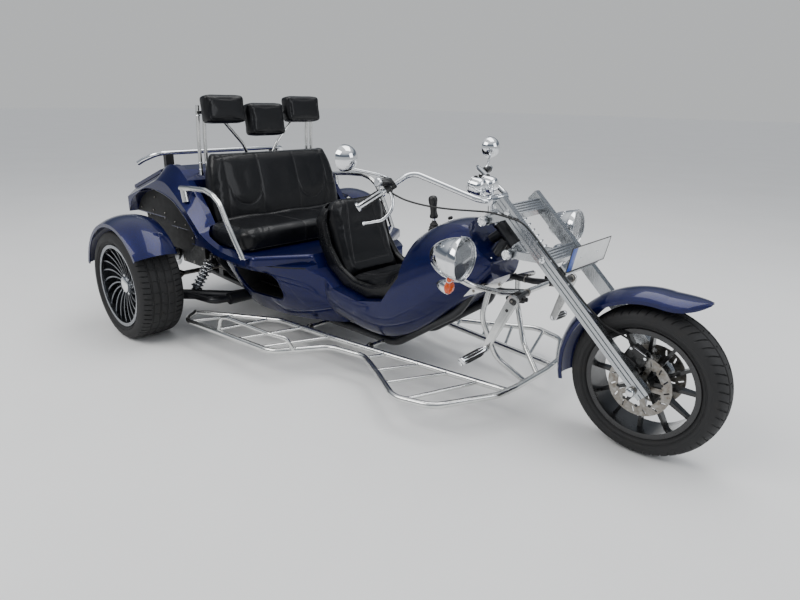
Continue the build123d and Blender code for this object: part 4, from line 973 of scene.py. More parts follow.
def brake_line():
    """The front brake's hose, one smooth curve from the lever to the caliper."""
    points = HOSE_POINTS + [tuple(fork_point(*p)) for p in HOSE_LEG] + HOSE_LAST
    curve = bpy.data.curves.new("front_brake_hose", "CURVE")
    curve.dimensions = "3D"
    spline = curve.splines.new("NURBS")
    spline.points.add(len(points) - 1)
    for point, spot in zip(spline.points, points):
        point.co = (*spot, 1)
    spline.order_u = 3
    spline.use_endpoint_u = True
    curve.resolution_u = 10
    curve.bevel_depth = HOSE_DIAMETER / 2
    curve.bevel_resolution = 3
    curve.use_fill_caps = True
    curve.materials.append(rubber.mat)
    hose = bpy.data.objects.new("front_brake_hose", curve)
    scene.collection.objects.link(hose)
    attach(hose, "steering")
    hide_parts("brake_hose")
    made = Build()
    for up in (0.70, 0.60, 0.48):
        clip = fork_point(0.030, -0.1425, up)
        made.lathe([(0.0041, -0.004), (0.0056, -0.0035), (0.0056, 0.0035), (0.0041, 0.004)],
                   at(clip, FORK_UP), chrome, 20, closed=True)
    made.finish("hose_clips", "steering", slot="chrome")


fork_trim()
front_coil()
plate_and_holder()
caliper()
brake_line()


# Cushions


def baked(obj):
    """Applies an object's modifiers to its mesh."""
    graph = bpy.context.evaluated_depsgraph_get()
    mesh = bpy.data.meshes.new_from_object(obj.evaluated_get(graph))
    obj.modifiers.clear()
    obj.data = mesh


def points_of(mesh):
    co = np.zeros(len(mesh.vertices) * 3)
    mesh.vertices.foreach_get("co", co)
    return co.reshape(-1, 3)


def set_points(mesh, co):
    mesh.vertices.foreach_set("co", np.asarray(co, float).ravel())
    mesh.update()


def normals_of(mesh):
    out = np.zeros(len(mesh.vertices) * 3)
    mesh.vertices.foreach_get("normal", out)
    return out.reshape(-1, 3)


def evened(co, edges, times):
    """Points drawn halfway to the middle of their neighbours, so many times."""
    count = np.bincount(edges.ravel(), minlength=len(co))[:, None]
    for _ in range(times):
        total = np.zeros_like(co)
        np.add.at(total, edges[:, 0], co[edges[:, 1]])
        np.add.at(total, edges[:, 1], co[edges[:, 0]])
        co = co + (total / np.maximum(count, 1) - co) * 0.5
    return co


def edges_of(mesh):
    out = np.zeros(len(mesh.edges) * 2, int)
    mesh.edges.foreach_get("vertices", out)
    return out.reshape(-1, 2)


def soft_blank(name, node, voxel, rounding, inset):
    """A rounded, slightly smaller copy of a solid cushion, ready to be filled."""
    obj = bpy.data.objects.new(name, cad[node].data.copy())
    scene.collection.objects.link(obj)
    obj.data.materials.clear()
    change = obj.modifiers.new("even", "REMESH")
    change.mode = "VOXEL"
    change.voxel_size = voxel
    baked(obj)
    obj.data.materials.clear()
    obj.data.materials.append(black_leather.mat)
    co = evened(points_of(obj.data), edges_of(obj.data), rounding)
    set_points(obj.data, co)
    co = co - normals_of(obj.data) * inset
    set_points(obj.data, co)
    return obj


# The cloth: substeps, mass of a point, stiffness in stretch and in bending, and frames under pressure
CLOTH_QUALITY, CLOTH_MASS, CLOTH_STRETCH, CLOTH_BEND, FILL_FRAMES = 4, 0.3, 12, 0.6, 20


def fill_all(cushions):
    """Blows the blanks up as cloth under pressure, then limits how far each point has moved."""
    rest = {}
    for obj, pressure, cap in cushions:
        rest[obj.name] = points_of(obj.data)
        cloth = obj.modifiers.new("fill", "CLOTH")
        cloth.settings.quality = CLOTH_QUALITY
        cloth.settings.mass = CLOTH_MASS
        cloth.settings.tension_stiffness = CLOTH_STRETCH
        cloth.settings.compression_stiffness = CLOTH_STRETCH
        cloth.settings.bending_stiffness = CLOTH_BEND
        cloth.settings.use_pressure = True
        cloth.settings.uniform_pressure_force = pressure
        cloth.settings.effector_weights.gravity = 0
    for number in range(1, FILL_FRAMES + 1):
        scene.frame_set(number)
    for obj, pressure, cap in cushions:
        baked(obj)
        start, moved = rest[obj.name], points_of(obj.data)
        step = moved - start
        size = np.linalg.norm(step, axis=1, keepdims=True)
        step *= np.minimum(1.0, cap / np.maximum(size, 1e-9))
        set_points(obj.data, evened(start + step, edges_of(obj.data), 2))
    scene.frame_set(1)


def surface(obj):
    return BVHTree.FromPolygons([v.co.copy() for v in obj.data.vertices],
                                [tuple(p.vertices) for p in obj.data.polygons])


def laid(tree, points, way):
    """Points dropped on a surface along a direction, each from a quarter of a metre before it."""
    way = Vector(way).normalized()
    out = []
    for p in points:
        spot = tree.ray_cast(Vector(p) - way * 0.25, way)[0]
        if spot is not None:
            out.append(spot)
    return out


def spaced(points, step):
    """The same line with its points an even step apart."""
    points = [Vector(p) for p in points]
    out, carry = [points[0]], 0.0
    for a, b in zip(points, points[1:]):
        run = (b - a).length
        spot = step - carry
        while spot <= run:
            out.append(a + (b - a) * (spot / run))
            spot += step
        carry = (carry + run) % step
    return out


def sew(obj, lines, depth, width, crown, reach):
    """Draws a cushion in along its seams and crowns it between them."""
    dense = [p for line in lines for p in spaced(line, 0.002)]
    tree = KDTree(len(dense))
    for i, p in enumerate(dense):
        tree.insert(p, i)
    tree.balance()
    co, normal = points_of(obj.data), normals_of(obj.data)
    away = np.array([tree.find(Vector(p))[2] for p in co])[:, None]
    groove = -depth * np.exp(-(away / width) ** 2)
    swell = crown * (1 - np.exp(-(away / reach) ** 2)) * np.exp(-(away / (reach * 2.2)) ** 4)
    set_points(obj.data, co + normal * (groove + swell))


def stitch_row(made, tree, line, aside, finish, pitch=0.0075, size=0.0010, lift=0.0004):
    """A row of short threads beside a seam."""
    dense = spaced(line, pitch)
    for a, b in zip(dense, dense[1:]):
        run = b - a
        middle = (a + b) / 2
        spot, normal, _, _ = tree.find_nearest(middle)
        if spot is None:
            continue
        run = (run - normal * run.dot(normal)).normalized()
        across = normal.cross(run)
        middle = spot + across * aside
        spot, normal, _, _ = tree.find_nearest(middle)
        half = run * pitch * 0.34
        points = [spot - half + normal * (lift - size), spot - half * 0.7 + normal * lift,
                  spot + half * 0.7 + normal * lift, spot + half + normal * (lift - size)]
        made.tube(points, [size * 0.5, size, size, size * 0.5], finish, 6)


def seamed(obj, lines, depth, width, crown, reach, aside, **threads):
    """Draws a cushion in along its seams, stitches both sides of each, and gives the new surface."""
    sew(obj, lines, depth, width, crown, reach)
    tree = surface(obj)
    for line in lines:
        for way in (-aside, aside):
            stitch_row(trim, tree, line, way, thread, **threads)
    return tree


def piping(made, tree, line, radius, finish, lift=0.0):
    """A round welt that lies on a surface along a line."""
    out = []
    for p in spaced(line, 0.008):
        spot, normal, _, _ = tree.find_nearest(Vector(p))
        out.append(spot + normal * lift)
    made.tube(out, radius, finish, 10)


bench_back = soft_blank("bench_back_pad", "bench_back", 0.007, 14, 0.006)
bench_seat = soft_blank("bench_seat_pad", "bench_cushion", 0.007, 30, 0.003)
driver_back = soft_blank("driver_back_pad", "driver_back", 0.0055, 45, 0.0)
driver_seat = soft_blank("driver_seat_pad", "driver_cushion", 0.0055, 8, 0.004)
rests = soft_blank("headrest_pads", "headrests", 0.0055, 12, 0.005)
shell = soft_blank("driver_shell_cover", "driver_shell", 0.006, 12, 0.0)
shell.data.materials[0] = shell_vinyl.mat

# How far the front of the driver's back is moved ahead of the blank's front at each height
BACK_RISE = [0.478, 0.560, 0.640, 0.700, 0.770, 0.840, 0.866]
BACK_SHIFT = [0.0, 0.010, 0.024, 0.030, 0.004, -0.024, -0.020]
back_co, back_normal = points_of(driver_back.data), normals_of(driver_back.data)
share = np.clip(back_normal[:, 0] * 1.5, 0, 1)
back_co[:, 0] += share * np.interp(back_co[:, 2], BACK_RISE, BACK_SHIFT)
set_points(driver_back.data, evened(back_co, edges_of(driver_back.data), 6))
# Each cushion's pressure, and the furthest that a point of it may move
fill_all([
    (bench_back, 4.0, 0.008),
    (bench_seat, 4.0, 0.014),
    (driver_back, 3.0, 0.007),
    (driver_seat, 3.0, 0.009),
    (rests, 2.0, 0.003),
])

BACK_SEAMS = [(-0.367, -0.388), (-0.138, -0.142), (0.138, 0.142), (0.367, 0.388)]
trim = Build()

back_tree = surface(bench_back)
back_lines = []
for top_y, low_y in BACK_SEAMS:
    run = [(0, low_y + (top_y - low_y) * k / 24, 0.60 + 0.45 * k / 24) for k in range(25)]
    back_lines.append(laid(back_tree, [(-0.9, y, z) for _, y, z in run], (-1, 0, 0)))
for sign in SIDES:
    arc = smooth_line([(-0.9, sign * 0.366, 0.900), (-0.9, sign * 0.345, 0.815),
                       (-0.9, sign * 0.300, 0.772), (-0.9, sign * 0.253, 0.760),
                       (-0.9, sign * 0.205, 0.772), (-0.9, sign * 0.162, 0.810),
                       (-0.9, sign * 0.139, 0.880)], 8)
    back_lines.append(laid(back_tree, arc, (-1, 0, 0)))
top_line = laid(back_tree, [(-0.95, y, 1.052 - 0.02 * abs(y / 0.42) ** 3)
                            for y in np.linspace(-0.415, 0.415, 60)], (-1, 0, 0))
back_lines.append(top_line)
seamed(bench_back, back_lines, 0.0030, 0.0036, 0.003, 0.045, 0.0036, pitch=0.0065, size=0.0007)

seat_tree = surface(bench_seat)
seat_lines = []
for y in (-0.142, 0.142):
    over = laid(seat_tree, [(x, y, 0.7) for x in np.linspace(-0.86, -0.515, 40)], (0, 0, -1))
    front = laid(seat_tree, [(-0.5, y, z) for z in np.linspace(0.665, 0.590, 14)], (-1, 0, 0))
    seat_lines.append(over + front)
edge = laid(seat_tree, [(-0.5, y, 0.588) for y in np.linspace(-0.53, 0.53, 90)], (-1, 0, 0))
seat_tree = seamed(bench_seat, seat_lines, 0.0028, 0.0036, 0.002, 0.045, 0.0036, pitch=0.0065, size=0.0007)
piping(trim, seat_tree, edge, 0.0032, black_leather)

seat_back_tree = surface(driver_back)
way = Vector((-0.86, 0, -0.42))
panel = []
for sign in SIDES:
    run = [(-0.12 - 0.14 * k / 24, sign * (0.135 - 0.040 * k / 24),
            0.50 + 0.33 * k / 24) for k in range(25)]
    panel.append(laid(seat_back_tree, run, way))
panel.append(laid(seat_back_tree, [(-0.10, y, 0.520) for y in np.linspace(-0.132, 0.132, 40)], way))
seamed(driver_back, panel, 0.0020, 0.0036, 0.0006, 0.030, 0.0042, pitch=0.0065)

pan_tree = surface(driver_seat)
pan_lines = []
for sign in SIDES:
    run = [(x, sign * 0.125, 0.6) for x in np.linspace(-0.02, 0.30, 40)]
    pan_lines.append(laid(pan_tree, run, (0, 0, -1)))
seamed(driver_seat, pan_lines, 0.0026, 0.0034, 0.002, 0.035, 0.0042, pitch=0.0065)

rest_tree = surface(rests)
rest_lines = []
for y, z, tall in ((-0.291, 1.308, 0.165), (0, 1.247, 0.200), (0.291, 1.308, 0.165)):
    loop = rounded_loop(y, z, 0.112, tall / 2 - 0.024, 0.03)
    loop.append(loop[0])
    for direction in (-1, 1):
        rest_lines.append(laid(rest_tree, [(-1.05, a, b) for a, b in loop], (direction, 0, 0)))
sew(rests, rest_lines, 0.0016, 0.0034, 0.002, 0.05)
rest_tree = surface(rests)
for line in rest_lines:
    piping(trim, rest_tree, line, 0.0014, black_leather)

# The shell's rolled rim, in the side view
RIM = [(-0.205, 0.850), (-0.215, 0.740), (-0.175, 0.620), (-0.095, 0.520), (0.020, 0.466), (0.150, 0.462),
       (0.270, 0.505), (0.340, 0.585)]
shell_tree = surface(shell)
for sign in SIDES:
    rim_line = [Vector((x + 0.006, sign * 0.243, z + 0.004)) for x, z in RIM[1:-1]]
    piping(trim, shell_tree, smooth_line(rim_line, 6), 0.0085, shell_vinyl, -0.003)

for piece, node, fill in (
    (bench_back, "bench_back", 0.7),
    (bench_seat, "bench_cushion", 0.7),
    (driver_back, "driver_back", 0.75),
    (driver_seat, "driver_cushion", 0.75),
    (rests, "headrests", 0.8),
    (shell, "driver_shell", 0.95),
):
    for polygon in piece.data.polygons:
        polygon.use_smooth = True
    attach(piece, "chassis")
    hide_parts(node)
trim.finish("seat_seams", "chassis", slot="black_leather", weld=False)


# Lamps, instruments, mirrors and controls


def headlamp(made, glass, sign):
    """A bullet lamp: finned bucket, rim that reaches ahead on its right, reflector, bulb and clear lens."""
    place = at((0.880, sign * 0.467, 0.785), (1, 0, 0))
    # In the lamp's place +X is to the left and +Y is up
    profile = [(0.0005, -0.139), (0.010, -0.1375), (0.024, -0.131), (0.040, -0.118), (0.057, -0.096),
               (0.070, -0.070), (0.080, -0.040), (0.0855, -0.012), (0.0865, 0.006), (0.0880, 0.010)]
    made.lathe(cut_corners(profile, 1), place, chrome, 56)
    ring = [(0.0862, 0.004), (0.0905, 0.006), (0.0920, 0.011), (0.0918, 0.018), (0.0895, 0.0215),
            (0.0862, 0.0215), (0.0845, 0.018), (0.0845, 0.008)]
    rows = []
    for r, h in ring:
        row = []
        for i in range(72):
            angle = 2 * pi * i / 72
            reach = max(0.0, -cos(angle)) ** 1.5
            ahead = h + (0.028 * reach if h > 0.015 else 0.0)
            row.append(place @ polar(r, angle, ahead))
        rows.append(row)
    made.grid(rows, chrome, caps=False, closed_long=True)
    bowl = [(0.0840, 0.012), (0.0780, -0.002), (0.066, -0.022), (0.050, -0.040), (0.032, -0.052),
            (0.0150, -0.058), (0.0150, -0.064), (0.034, -0.060), (0.054, -0.046), (0.070, -0.026),
            (0.082, -0.003), (0.0845, 0.012)]
    made.lathe(bowl, place, reflector, 56, closed=True)
    made.lathe([(0.0135, -0.062), (0.0135, -0.044), (0.009, -0.040), (0.009, -0.026), (0.0055, -0.020),
                (0.0002, -0.018)], place, reflector, 24)
    made.lathe([(0.0165, -0.024), (0.0175, -0.022), (0.0175, -0.012), (0.0160, -0.0085),
                (0.0002, -0.0070)], place, chrome, 28)
    for k in range(3):
        angle = 2 * pi * k / 3
        made.tube([place @ polar(0.016, angle, -0.018),
                   place @ polar(0.045, angle, -0.038)], 0.0016, chrome, 8)
    dome = [(0.0845, 0.0105), (0.0845, 0.0150), (0.0780, 0.0205), (0.0620, 0.0262), (0.0420, 0.0302),
            (0.0200, 0.0322), (0.0002, 0.0328), (0.0002, 0.0298), (0.0200, 0.0292), (0.0420, 0.0272),
            (0.0610, 0.0232), (0.0765, 0.0172), (0.0815, 0.0105)]
    glass.lathe(dome, place, lens_glass, 64, closed=False)
    # Four fins on the right side of the bucket: low on the right lamp, high on the left one
    for k in range(4):
        angle = pi + sign * (-0.62 - 0.2 * k)
        line = []
        for h, r in ((-0.030, 0.0825), (-0.045, 0.0800), (-0.062, 0.0742), (-0.080, 0.0665),
                     (-0.096, 0.0565), (-0.108, 0.0480)):
            line.append(place @ polar(r, angle, h))
        line = smooth_line(line, 4)
        made.tube(line, [0.0012] + [0.0042] * (len(line) - 2) + [0.0012], chrome, 10)
    made.lathe([(0.0165, -0.012), (0.0180, -0.004), (0.0180, 0.010), (0.014, 0.014), (0.0002, 0.014)],
               at((0.868, sign * 0.4635, 0.702)), chrome, 28)
    made.bolt((0.868, sign * 0.4635 + sign * 0.0175, 0.704), (0, sign, 0), 0.0052, chrome)
    for k in range(2):
        angle = pi / 2 + pi * k
        out = place.to_3x3() @ polar(1, angle)
        made.cap_screw(place @ polar(0.0905, angle, 0.012), out, 0.0028)


def indicator(made, glass, sign):
    """A round indicator with an amber lens on a chrome cone, and a small reflector beside it."""
    place = at((0.836, sign * 0.474, 0.662), (1, 0, 0))
    made.lathe([(0.0005, -0.054), (0.010, -0.052), (0.0165, -0.044), (0.024, -0.030), (0.0290, -0.016),
                (0.0310, -0.006), (0.0322, 0.0), (0.0322, 0.004), (0.0300, 0.006), (0.0002, 0.006)], place,
                chrome, 40)
    glass.lathe([(0.0298, 0.005), (0.0298, 0.0090), (0.0270, 0.0150), (0.0200, 0.0205), (0.0100, 0.0232),
                 (0.0002, 0.0240)], place, amber, 40)
    stem = smooth_line([(0.834, sign * 0.473, 0.688), (0.838, sign * 0.4705, 0.70),
                        (0.842, sign * 0.4685, 0.712)], 3)
    made.tube(stem, 0.008, chrome, 14)
    side_place = at((0.858, sign * 0.492, 0.700), (0.75, sign * 0.66, 0.0))
    made.lathe([(0.013, -0.010), (0.0145, -0.006), (0.0145, 0.001), (0.0125, 0.002), (0.0002, 0.002)],
               side_place, chrome, 28)
    glass.lathe([(0.0122, 0.0012), (0.0118, 0.0036), (0.007, 0.0052), (0.0002, 0.0058)], side_place, amber,
                28)
    made.tube([(0.855, sign * 0.4895, 0.700), (0.864, sign * 0.472, 0.700)], 0.0045, chrome, 10)


def tail_lamp(made, glass, sign):
    """A round rear lamp: chrome ring, red lens and amber centre."""
    place = at((-1.788, sign * 0.400, 0.700), (-1, 0, 0))
    made.lathe([(0.0400, -0.002), (0.0415, 0.004), (0.0415, 0.012), (0.0385, 0.0155), (0.0355, 0.0150),
                (0.0345, 0.010), (0.0002, 0.009)],
               place, chrome, 44)
    glass.lathe([(0.0350, 0.0095), (0.0350, 0.0150), (0.0300, 0.0192), (0.0160, 0.0215), (0.0158, 0.0095)],
                place, red, 44, closed=True)
    glass.lathe([(0.0152, 0.0095), (0.0152, 0.0200), (0.0110, 0.0225), (0.0002, 0.0230)], place, amber, 36)


def pair_of(maker):
    """The metal and the lenses of a lamp on each side."""
    metal, lenses = Build(), Build()
    for sign in SIDES:
        maker(metal, lenses, sign)
    return metal, lenses


metal, lenses = pair_of(headlamp)
metal.finish("headlamp_shells", "chassis", ["headlights"], "chrome", sharp=40)
lenses.finish("headlamp_lenses", "chassis", ["headlight_lenses"], "lamp_glass")
metal, lenses = pair_of(indicator)
metal.finish("signal_bodies", "chassis", ["turn_signals"], "chrome")
lenses.finish("signal_lenses", "chassis", slot="amber_glass")
metal, lenses = pair_of(tail_lamp)
metal.finish("tail_lamp_rings", "chassis", ["tail_lights"], "chrome")
lenses.finish("tail_lamp_lenses", "chassis", slot="red_glass")

GAUGE_BACK = Vector((-cos(radians(8)), 0, sin(radians(8))))


def instruments():
    """Two chrome cups with dials that face the rider, ticks, needles and glasses."""
    made, glass = Build(), Build()
    for number, side in enumerate((-0.046, 0.046)):
        place = at(Vector((0.652, side, 1.010)), GAUGE_BACK)
        made.lathe([(0.0005, -0.036), (0.018, -0.0355), (0.031, -0.031), (0.0385, -0.022),
                    (0.0405, -0.010), (0.0405, 0.022)], place, chrome, 56)
        made.lathe([(0.0400, 0.0215), (0.0408, 0.0225), (0.0408, 0.0240), (0.0400, 0.0250)], place,
                   plastic, 56, closed=True)
        made.lathe([(0.0385, 0.0245), (0.0418, 0.0250), (0.0425, 0.0285), (0.0412, 0.0320),
                    (0.0385, 0.0330), (0.0365, 0.0300), (0.0365, 0.0270)],
                   place, chrome, 56, closed=True)
        made.lathe([(0.0372, 0.0200), (0.0372, 0.0262), (0.0002, 0.0262)], place, dial_face, 48)
        face = place @ shift(0, 0, 0.0265)
        for k in range(25):
            # From the upper right, over the top and the left, to the lower right
            angle = radians(-40 + 260 * k / 24)
            long = 0.0052 if k % 3 == 0 else 0.0028
            middle = 0.0325 - long / 2
            tick = face @ Matrix.Rotation(angle, 4, "Z") @ shift(0, middle, 0)
            made.box((0.0009 if k % 3 else 0.0014, long, 0.0003), tick, dial_mark, 0)
        tip = radians(196 if number else 205)
        needle = [(-0.0011, -0.006), (0.0011, -0.006), (0.0005, 0.027), (-0.0005, 0.027)]
        made.prism(needle, 0.0006, face @ Matrix.Rotation(tip, 4, "Z") @ shift(0, 0, 0.0012), needle_red, 0)
        made.lathe([(0.0042, 0.0), (0.0042, 0.0030), (0.0030, 0.0036), (0.0002, 0.0036)], face, plastic, 20)
        glass.lathe([(0.0368, 0.0298), (0.0368, 0.0308), (0.020, 0.0318), (0.0002, 0.0321),
                     (0.0002, 0.0311), (0.020, 0.0308), (0.0360, 0.0298)], place, lens_glass, 40)
        made.tube(smooth_line([(0.668, side * 0.8, 0.975), (0.690, side * 0.7, 0.962),
                               (0.716, side * 0.6, 0.960)], 4), 0.0085, chrome, 14)
        made.box((0.014, 0.010, 0.012), shift(0.640, side, 1.052), plastic, 0.002)
    made.box((0.026, 0.115, 0.010), shift(0.690, 0, 0.966), chrome, 0.003, 3)
    made.finish("instrument_cups", "steering", ["gauges"], "chrome", sharp=36)
    glass.finish("instrument_glasses", "steering", slot="lamp_glass")


instruments()


def mirrors():
    """Round chrome mirrors: shell, rim, glass, ball joint and flattened stem."""
    made = Build()
    for sign in SIDES:
        ahead = Vector((cos(radians(8)), sign * -sin(radians(8)), 0))
        place = at((0.292, sign * 0.541, 1.138), ahead)
        profile = [(0.0500, -0.0015), (0.0550, -0.0035), (0.0582, -0.0010), (0.0582, 0.006),
                   (0.0560, 0.018), (0.0500, 0.032), (0.0400, 0.045), (0.0270, 0.054), (0.0130, 0.0590),
                   (0.0002, 0.0603)]
        made.lathe(profile, place, chrome, 56)
        made.lathe([(0.0520, -0.0008), (0.0510, -0.0024), (0.0002, -0.0028)], place, mirror_glass, 48)
        perch = Vector((0.3906, sign * 0.3564, 1.007))
        line = [perch + Vector((0, 0, 0.010)), perch + Vector((0.004, sign * 0.012, 0.036)),
                Vector((0.388, sign * 0.398, 1.060)),
                Vector((0.350, sign * 0.462, 1.078)), Vector((0.322, sign * 0.512, 1.090)),
                Vector((0.306, sign * 0.536, 1.100))]
        line = smooth_line(line, 6)
        radii = [0.0058 + 0.0022 * (i / len(line)) for i in range(len(line))]
        made.tube(line, radii, chrome, 14, flat=0.8)
        joint = Vector((0.304, sign * 0.538, 1.098))
        made.lathe([(0.0002, -0.012), (0.008, -0.010), (0.0118, -0.003), (0.0118, 0.003), (0.008, 0.010),
                    (0.0002, 0.012)],
                   at(joint), chrome, 24)
        made.lathe([(0.0105, 0.0), (0.0105, 0.012), (0.009, 0.014), (0.0002, 0.014)],
                   at(perch + Vector((0, 0, 0.004))), plastic, 20)
    made.finish("round_mirrors", "steering", ["mirrors"], "chrome")


mirrors()

# The right hand's end of the handlebar: where the grip starts and ends, and where the lever's perch is
GRIP_START, GRIP_END = Vector((0.373, -0.382, 0.987)), Vector((0.305, -0.478, 0.915))
BAR_PERCH = Vector((0.395, -0.350, 1.012))


def flipped(p, sign):
    return Vector((p[0], p[1] if sign < 0 else -p[1], p[2]))


def hand_grips():
    """On the right a chrome grip with rubber strips and a ring end, on the left a ribbed rubber one."""
    made = Build()
    for sign in SIDES:
        a, b = flipped(GRIP_START, sign), flipped(GRIP_END, sign)
        run = (b - a).normalized()
        place = at(a, run)
        tall = (b - a).length
        made.lathe([(0.0128, 0.0), (0.0215, 0.0005), (0.0230, 0.003), (0.0230, 0.008), (0.0205, 0.0105),
                    (0.0170, 0.012)], place, plastic if sign > 0 else chrome, 40)
        if sign < 0:
            made.lathe([(0.0162, 0.010), (0.0168, 0.014), (0.0168, tall - 0.012), (0.0150, tall - 0.010)],
                       place, chrome, 40)
            for k in range(6):
                angle = 2 * pi * k / 6 + 0.3
                line = [place @ polar(0.0172, angle, 0.014 + (tall - 0.028) * j / 6) for j in range(7)]
                made.tube(line, [0.0020] + [0.0042] * 5 + [0.0020], rubber, 12)
            made.lathe([(0.0170, tall - 0.013), (0.0225, tall - 0.012), (0.0232, tall - 0.008),
                        (0.0232, tall - 0.002), (0.0215, tall + 0.0002), (0.0125, tall),
                        (0.0110, tall - 0.004), (0.0002, tall - 0.004)], place, chrome, 40)
        else:
            profile = [(0.0172, 0.011)]
            ribs = 13
            for k in range(ribs):
                z = 0.014 + (tall - 0.028) * k / ribs
                swell = 0.0015 * sin(pi * k / ribs)
                profile += [(0.0176 + swell, z), (0.0192 + swell, z + 0.0015),
                            (0.0192 + swell, z + 0.0050), (0.0176 + swell, z + 0.0064)]
            profile += [(0.0180, tall - 0.012), (0.0222, tall - 0.010), (0.0228, tall - 0.004),
                        (0.0205, tall), (0.0002, tall)]
            made.lathe(profile, place, rubber, 40)
    made.finish("hand_grips", "steering", ["grips"], "rubber", sharp=40)


hand_grips()


def levers():
    """Perches, fluid reservoirs with bright lids, switch blocks and curved levers with ball ends."""
    made = Build()
    run = (GRIP_END - GRIP_START).normalized()
    middle = BAR_PERCH.lerp(GRIP_START, 0.45)
    for sign in SIDES:
        def spot(x, y, z):
            return flipped(middle + Vector((x, y, z)), sign)
        along = flipped(run, sign)
        centre = spot(0, 0, 0)
        place = at(centre, along)
        made.lathe([(0.0128, -0.016), (0.0205, -0.016), (0.0222, -0.013), (0.0222, 0.009), (0.0205, 0.012),
                    (0.0128, 0.012)], place, black_metal, 36)
        made.box((0.014, 0.016, 0.020), at(spot(0.008, -0.004, 0.018), (0.1, 0, 1)), black_metal, 0.003, 3)
        made.bolt(spot(0.020, 0.0, 0.010), (1, 0, 0.2), 0.0042, chrome)
        body = [(0.0002, 0.0), (0.0172, 0.0), (0.0188, 0.003), (0.0188, 0.070), (0.0172, 0.074),
                (0.0002, 0.0745)]
        start, end = spot(0.014, 0.006, 0.030), spot(-0.006, -0.076, 0.034)
        can = at(start, (end - start))
        made.lathe(body, can, black_metal, 36)
        made.lathe([(0.0195, 0.058), (0.0203, 0.060), (0.0203, 0.072), (0.0188, 0.0765), (0.0002, 0.0770)],
                   can, chrome, 36)
        lever = smooth_line([spot(0.018, 0.0, -0.010), spot(0.040, -0.008, -0.046),
                             spot(0.048, -0.026, -0.090), spot(0.032, -0.060, -0.128),
                             spot(0.002, -0.084, -0.140), spot(-0.038, -0.112, -0.150)], 8)
        radii = [0.0092 - 0.0032 * (i / (len(lever) - 1)) for i in range(len(lever))]
        made.tube(lever, radii, chrome, 16, flat=0.72)
        ball = lever[-1]
        made.lathe([(0.0002, -0.0088), (0.0055, -0.007), (0.0088, 0.0), (0.0055, 0.007), (0.0002, 0.0088)],
                   at(ball), chrome, 24)
        made.lathe([(0.0085, -0.009), (0.0098, -0.006), (0.0098, 0.006), (0.0085, 0.009),
                    (0.0002, 0.0095)], at(spot(0.018, 0.0, -0.010)), black_metal, 24)
        switch = at(flipped(BAR_PERCH.lerp(GRIP_START, -0.15), sign), along)
        made.lathe([(0.0128, -0.013), (0.0185, -0.012), (0.0195, -0.008), (0.0195, 0.008), (0.0185, 0.012),
                    (0.0128, 0.013)], switch, plastic, 32)
        button = needle_red if sign < 0 else plastic
        made.box((0.008, 0.012, 0.006), switch @ shift(0.0, 0.0195, 0), button, 0.0015)
    made.finish("levers_and_perches", "steering", ["hand_levers"], "chrome", sharp=38)


levers()


# Where the gear lever stands
LEVER_X, LEVER_Y = 0.345, 0.020


def shifter():
    """The gear lever: a bulb grip on a rod over a ribbed gaiter."""
    made = Build()
    place = shift(LEVER_X, LEVER_Y, 0.0)
    grip = shift(0.344, 0.020, 0.81) @ Matrix.Rotation(radians(-7), 4, "Y")
    made.lathe([(0.010, 0.000), (0.0190, 0.003), (0.0215, 0.009), (0.0215, 0.017), (0.0178, 0.026),
                (0.0165, 0.040), (0.0178, 0.060), (0.0212, 0.078), (0.0232, 0.092), (0.0228, 0.102),
                (0.0185, 0.111), (0.0100, 0.1155), (0.0002, 0.1165)], grip, plastic, 40)
    made.tube([(LEVER_X, LEVER_Y, 0.76), (LEVER_X, LEVER_Y, 0.815)], 0.0075, chrome, 16)
    profile = [(0.0430, 0.700)]
    for k in range(6):
        z, r = 0.704 + 0.0145 * k, 0.0410 - 0.0042 * k
        profile += [(r, z), (r + 0.0022, z + 0.0035), (r - 0.0012, z + 0.0085), (r - 0.0040, z + 0.0115)]
    profile += [(0.0125, 0.794), (0.0102, 0.800), (0.0002, 0.801)]
    made.lathe(profile, place, rubber, 44)
    made.finish("gear_shifter", "chassis", ["gear_lever"], "black_plastic", sharp=50)


shifter()


# Body, boot and chassis


def ring(made, centre, axis, radius, thick, finish, steps=32):
    """A round bead about an axis."""
    profile = [(radius + thick * cos(pi * k / 4), thick * sin(pi * k / 4)) for k in range(8)]
    made.lathe(profile, at(centre, axis), finish, steps, closed=True)


def side_place(y):
    """The place whose X and Y are the frame's X and Z, with its +Z to the right."""
    return Matrix(((1, 0, 0, 0), (0, 0, -1, y), (0, 1, 0, 0), (0, 0, 0, 1)))


def bowed(a, middle, b):
    """Points along a flat curve from one end to the other by way of its middle."""
    a, middle, b = Vector(a), Vector(middle), Vector(b)
    hub = middle * 2 - (a + b) / 2
    return [a * (1 - t) ** 2 + hub * (2 * t * (1 - t)) + b * t ** 2 for t in (k / 12 for k in range(13))]


TUB_TREE = surface(cad["body_tub"])
REAR_TREE = surface(cad["body_rear"])


def from_side(tree, x, z, sign, lift=0.0):
    """A point on the body's flank, found from outside."""
    spot = tree.ray_cast(Vector((x, sign * 0.9, z)), Vector((0, -sign, 0)))[0]
    return None if spot is None else spot + Vector((0, sign * lift, 0))


# The splash guards' outline below the boot, in the side view
GUARD_LINE = [(-1.768, 0.643), (-1.402, 0.643), (-1.332, 0.603), (-1.128, 0.603), (-1.128, 0.510),
              (-1.200, 0.462), (-1.300, 0.444), (-1.520, 0.444), (-1.650, 0.478), (-1.735, 0.560)]


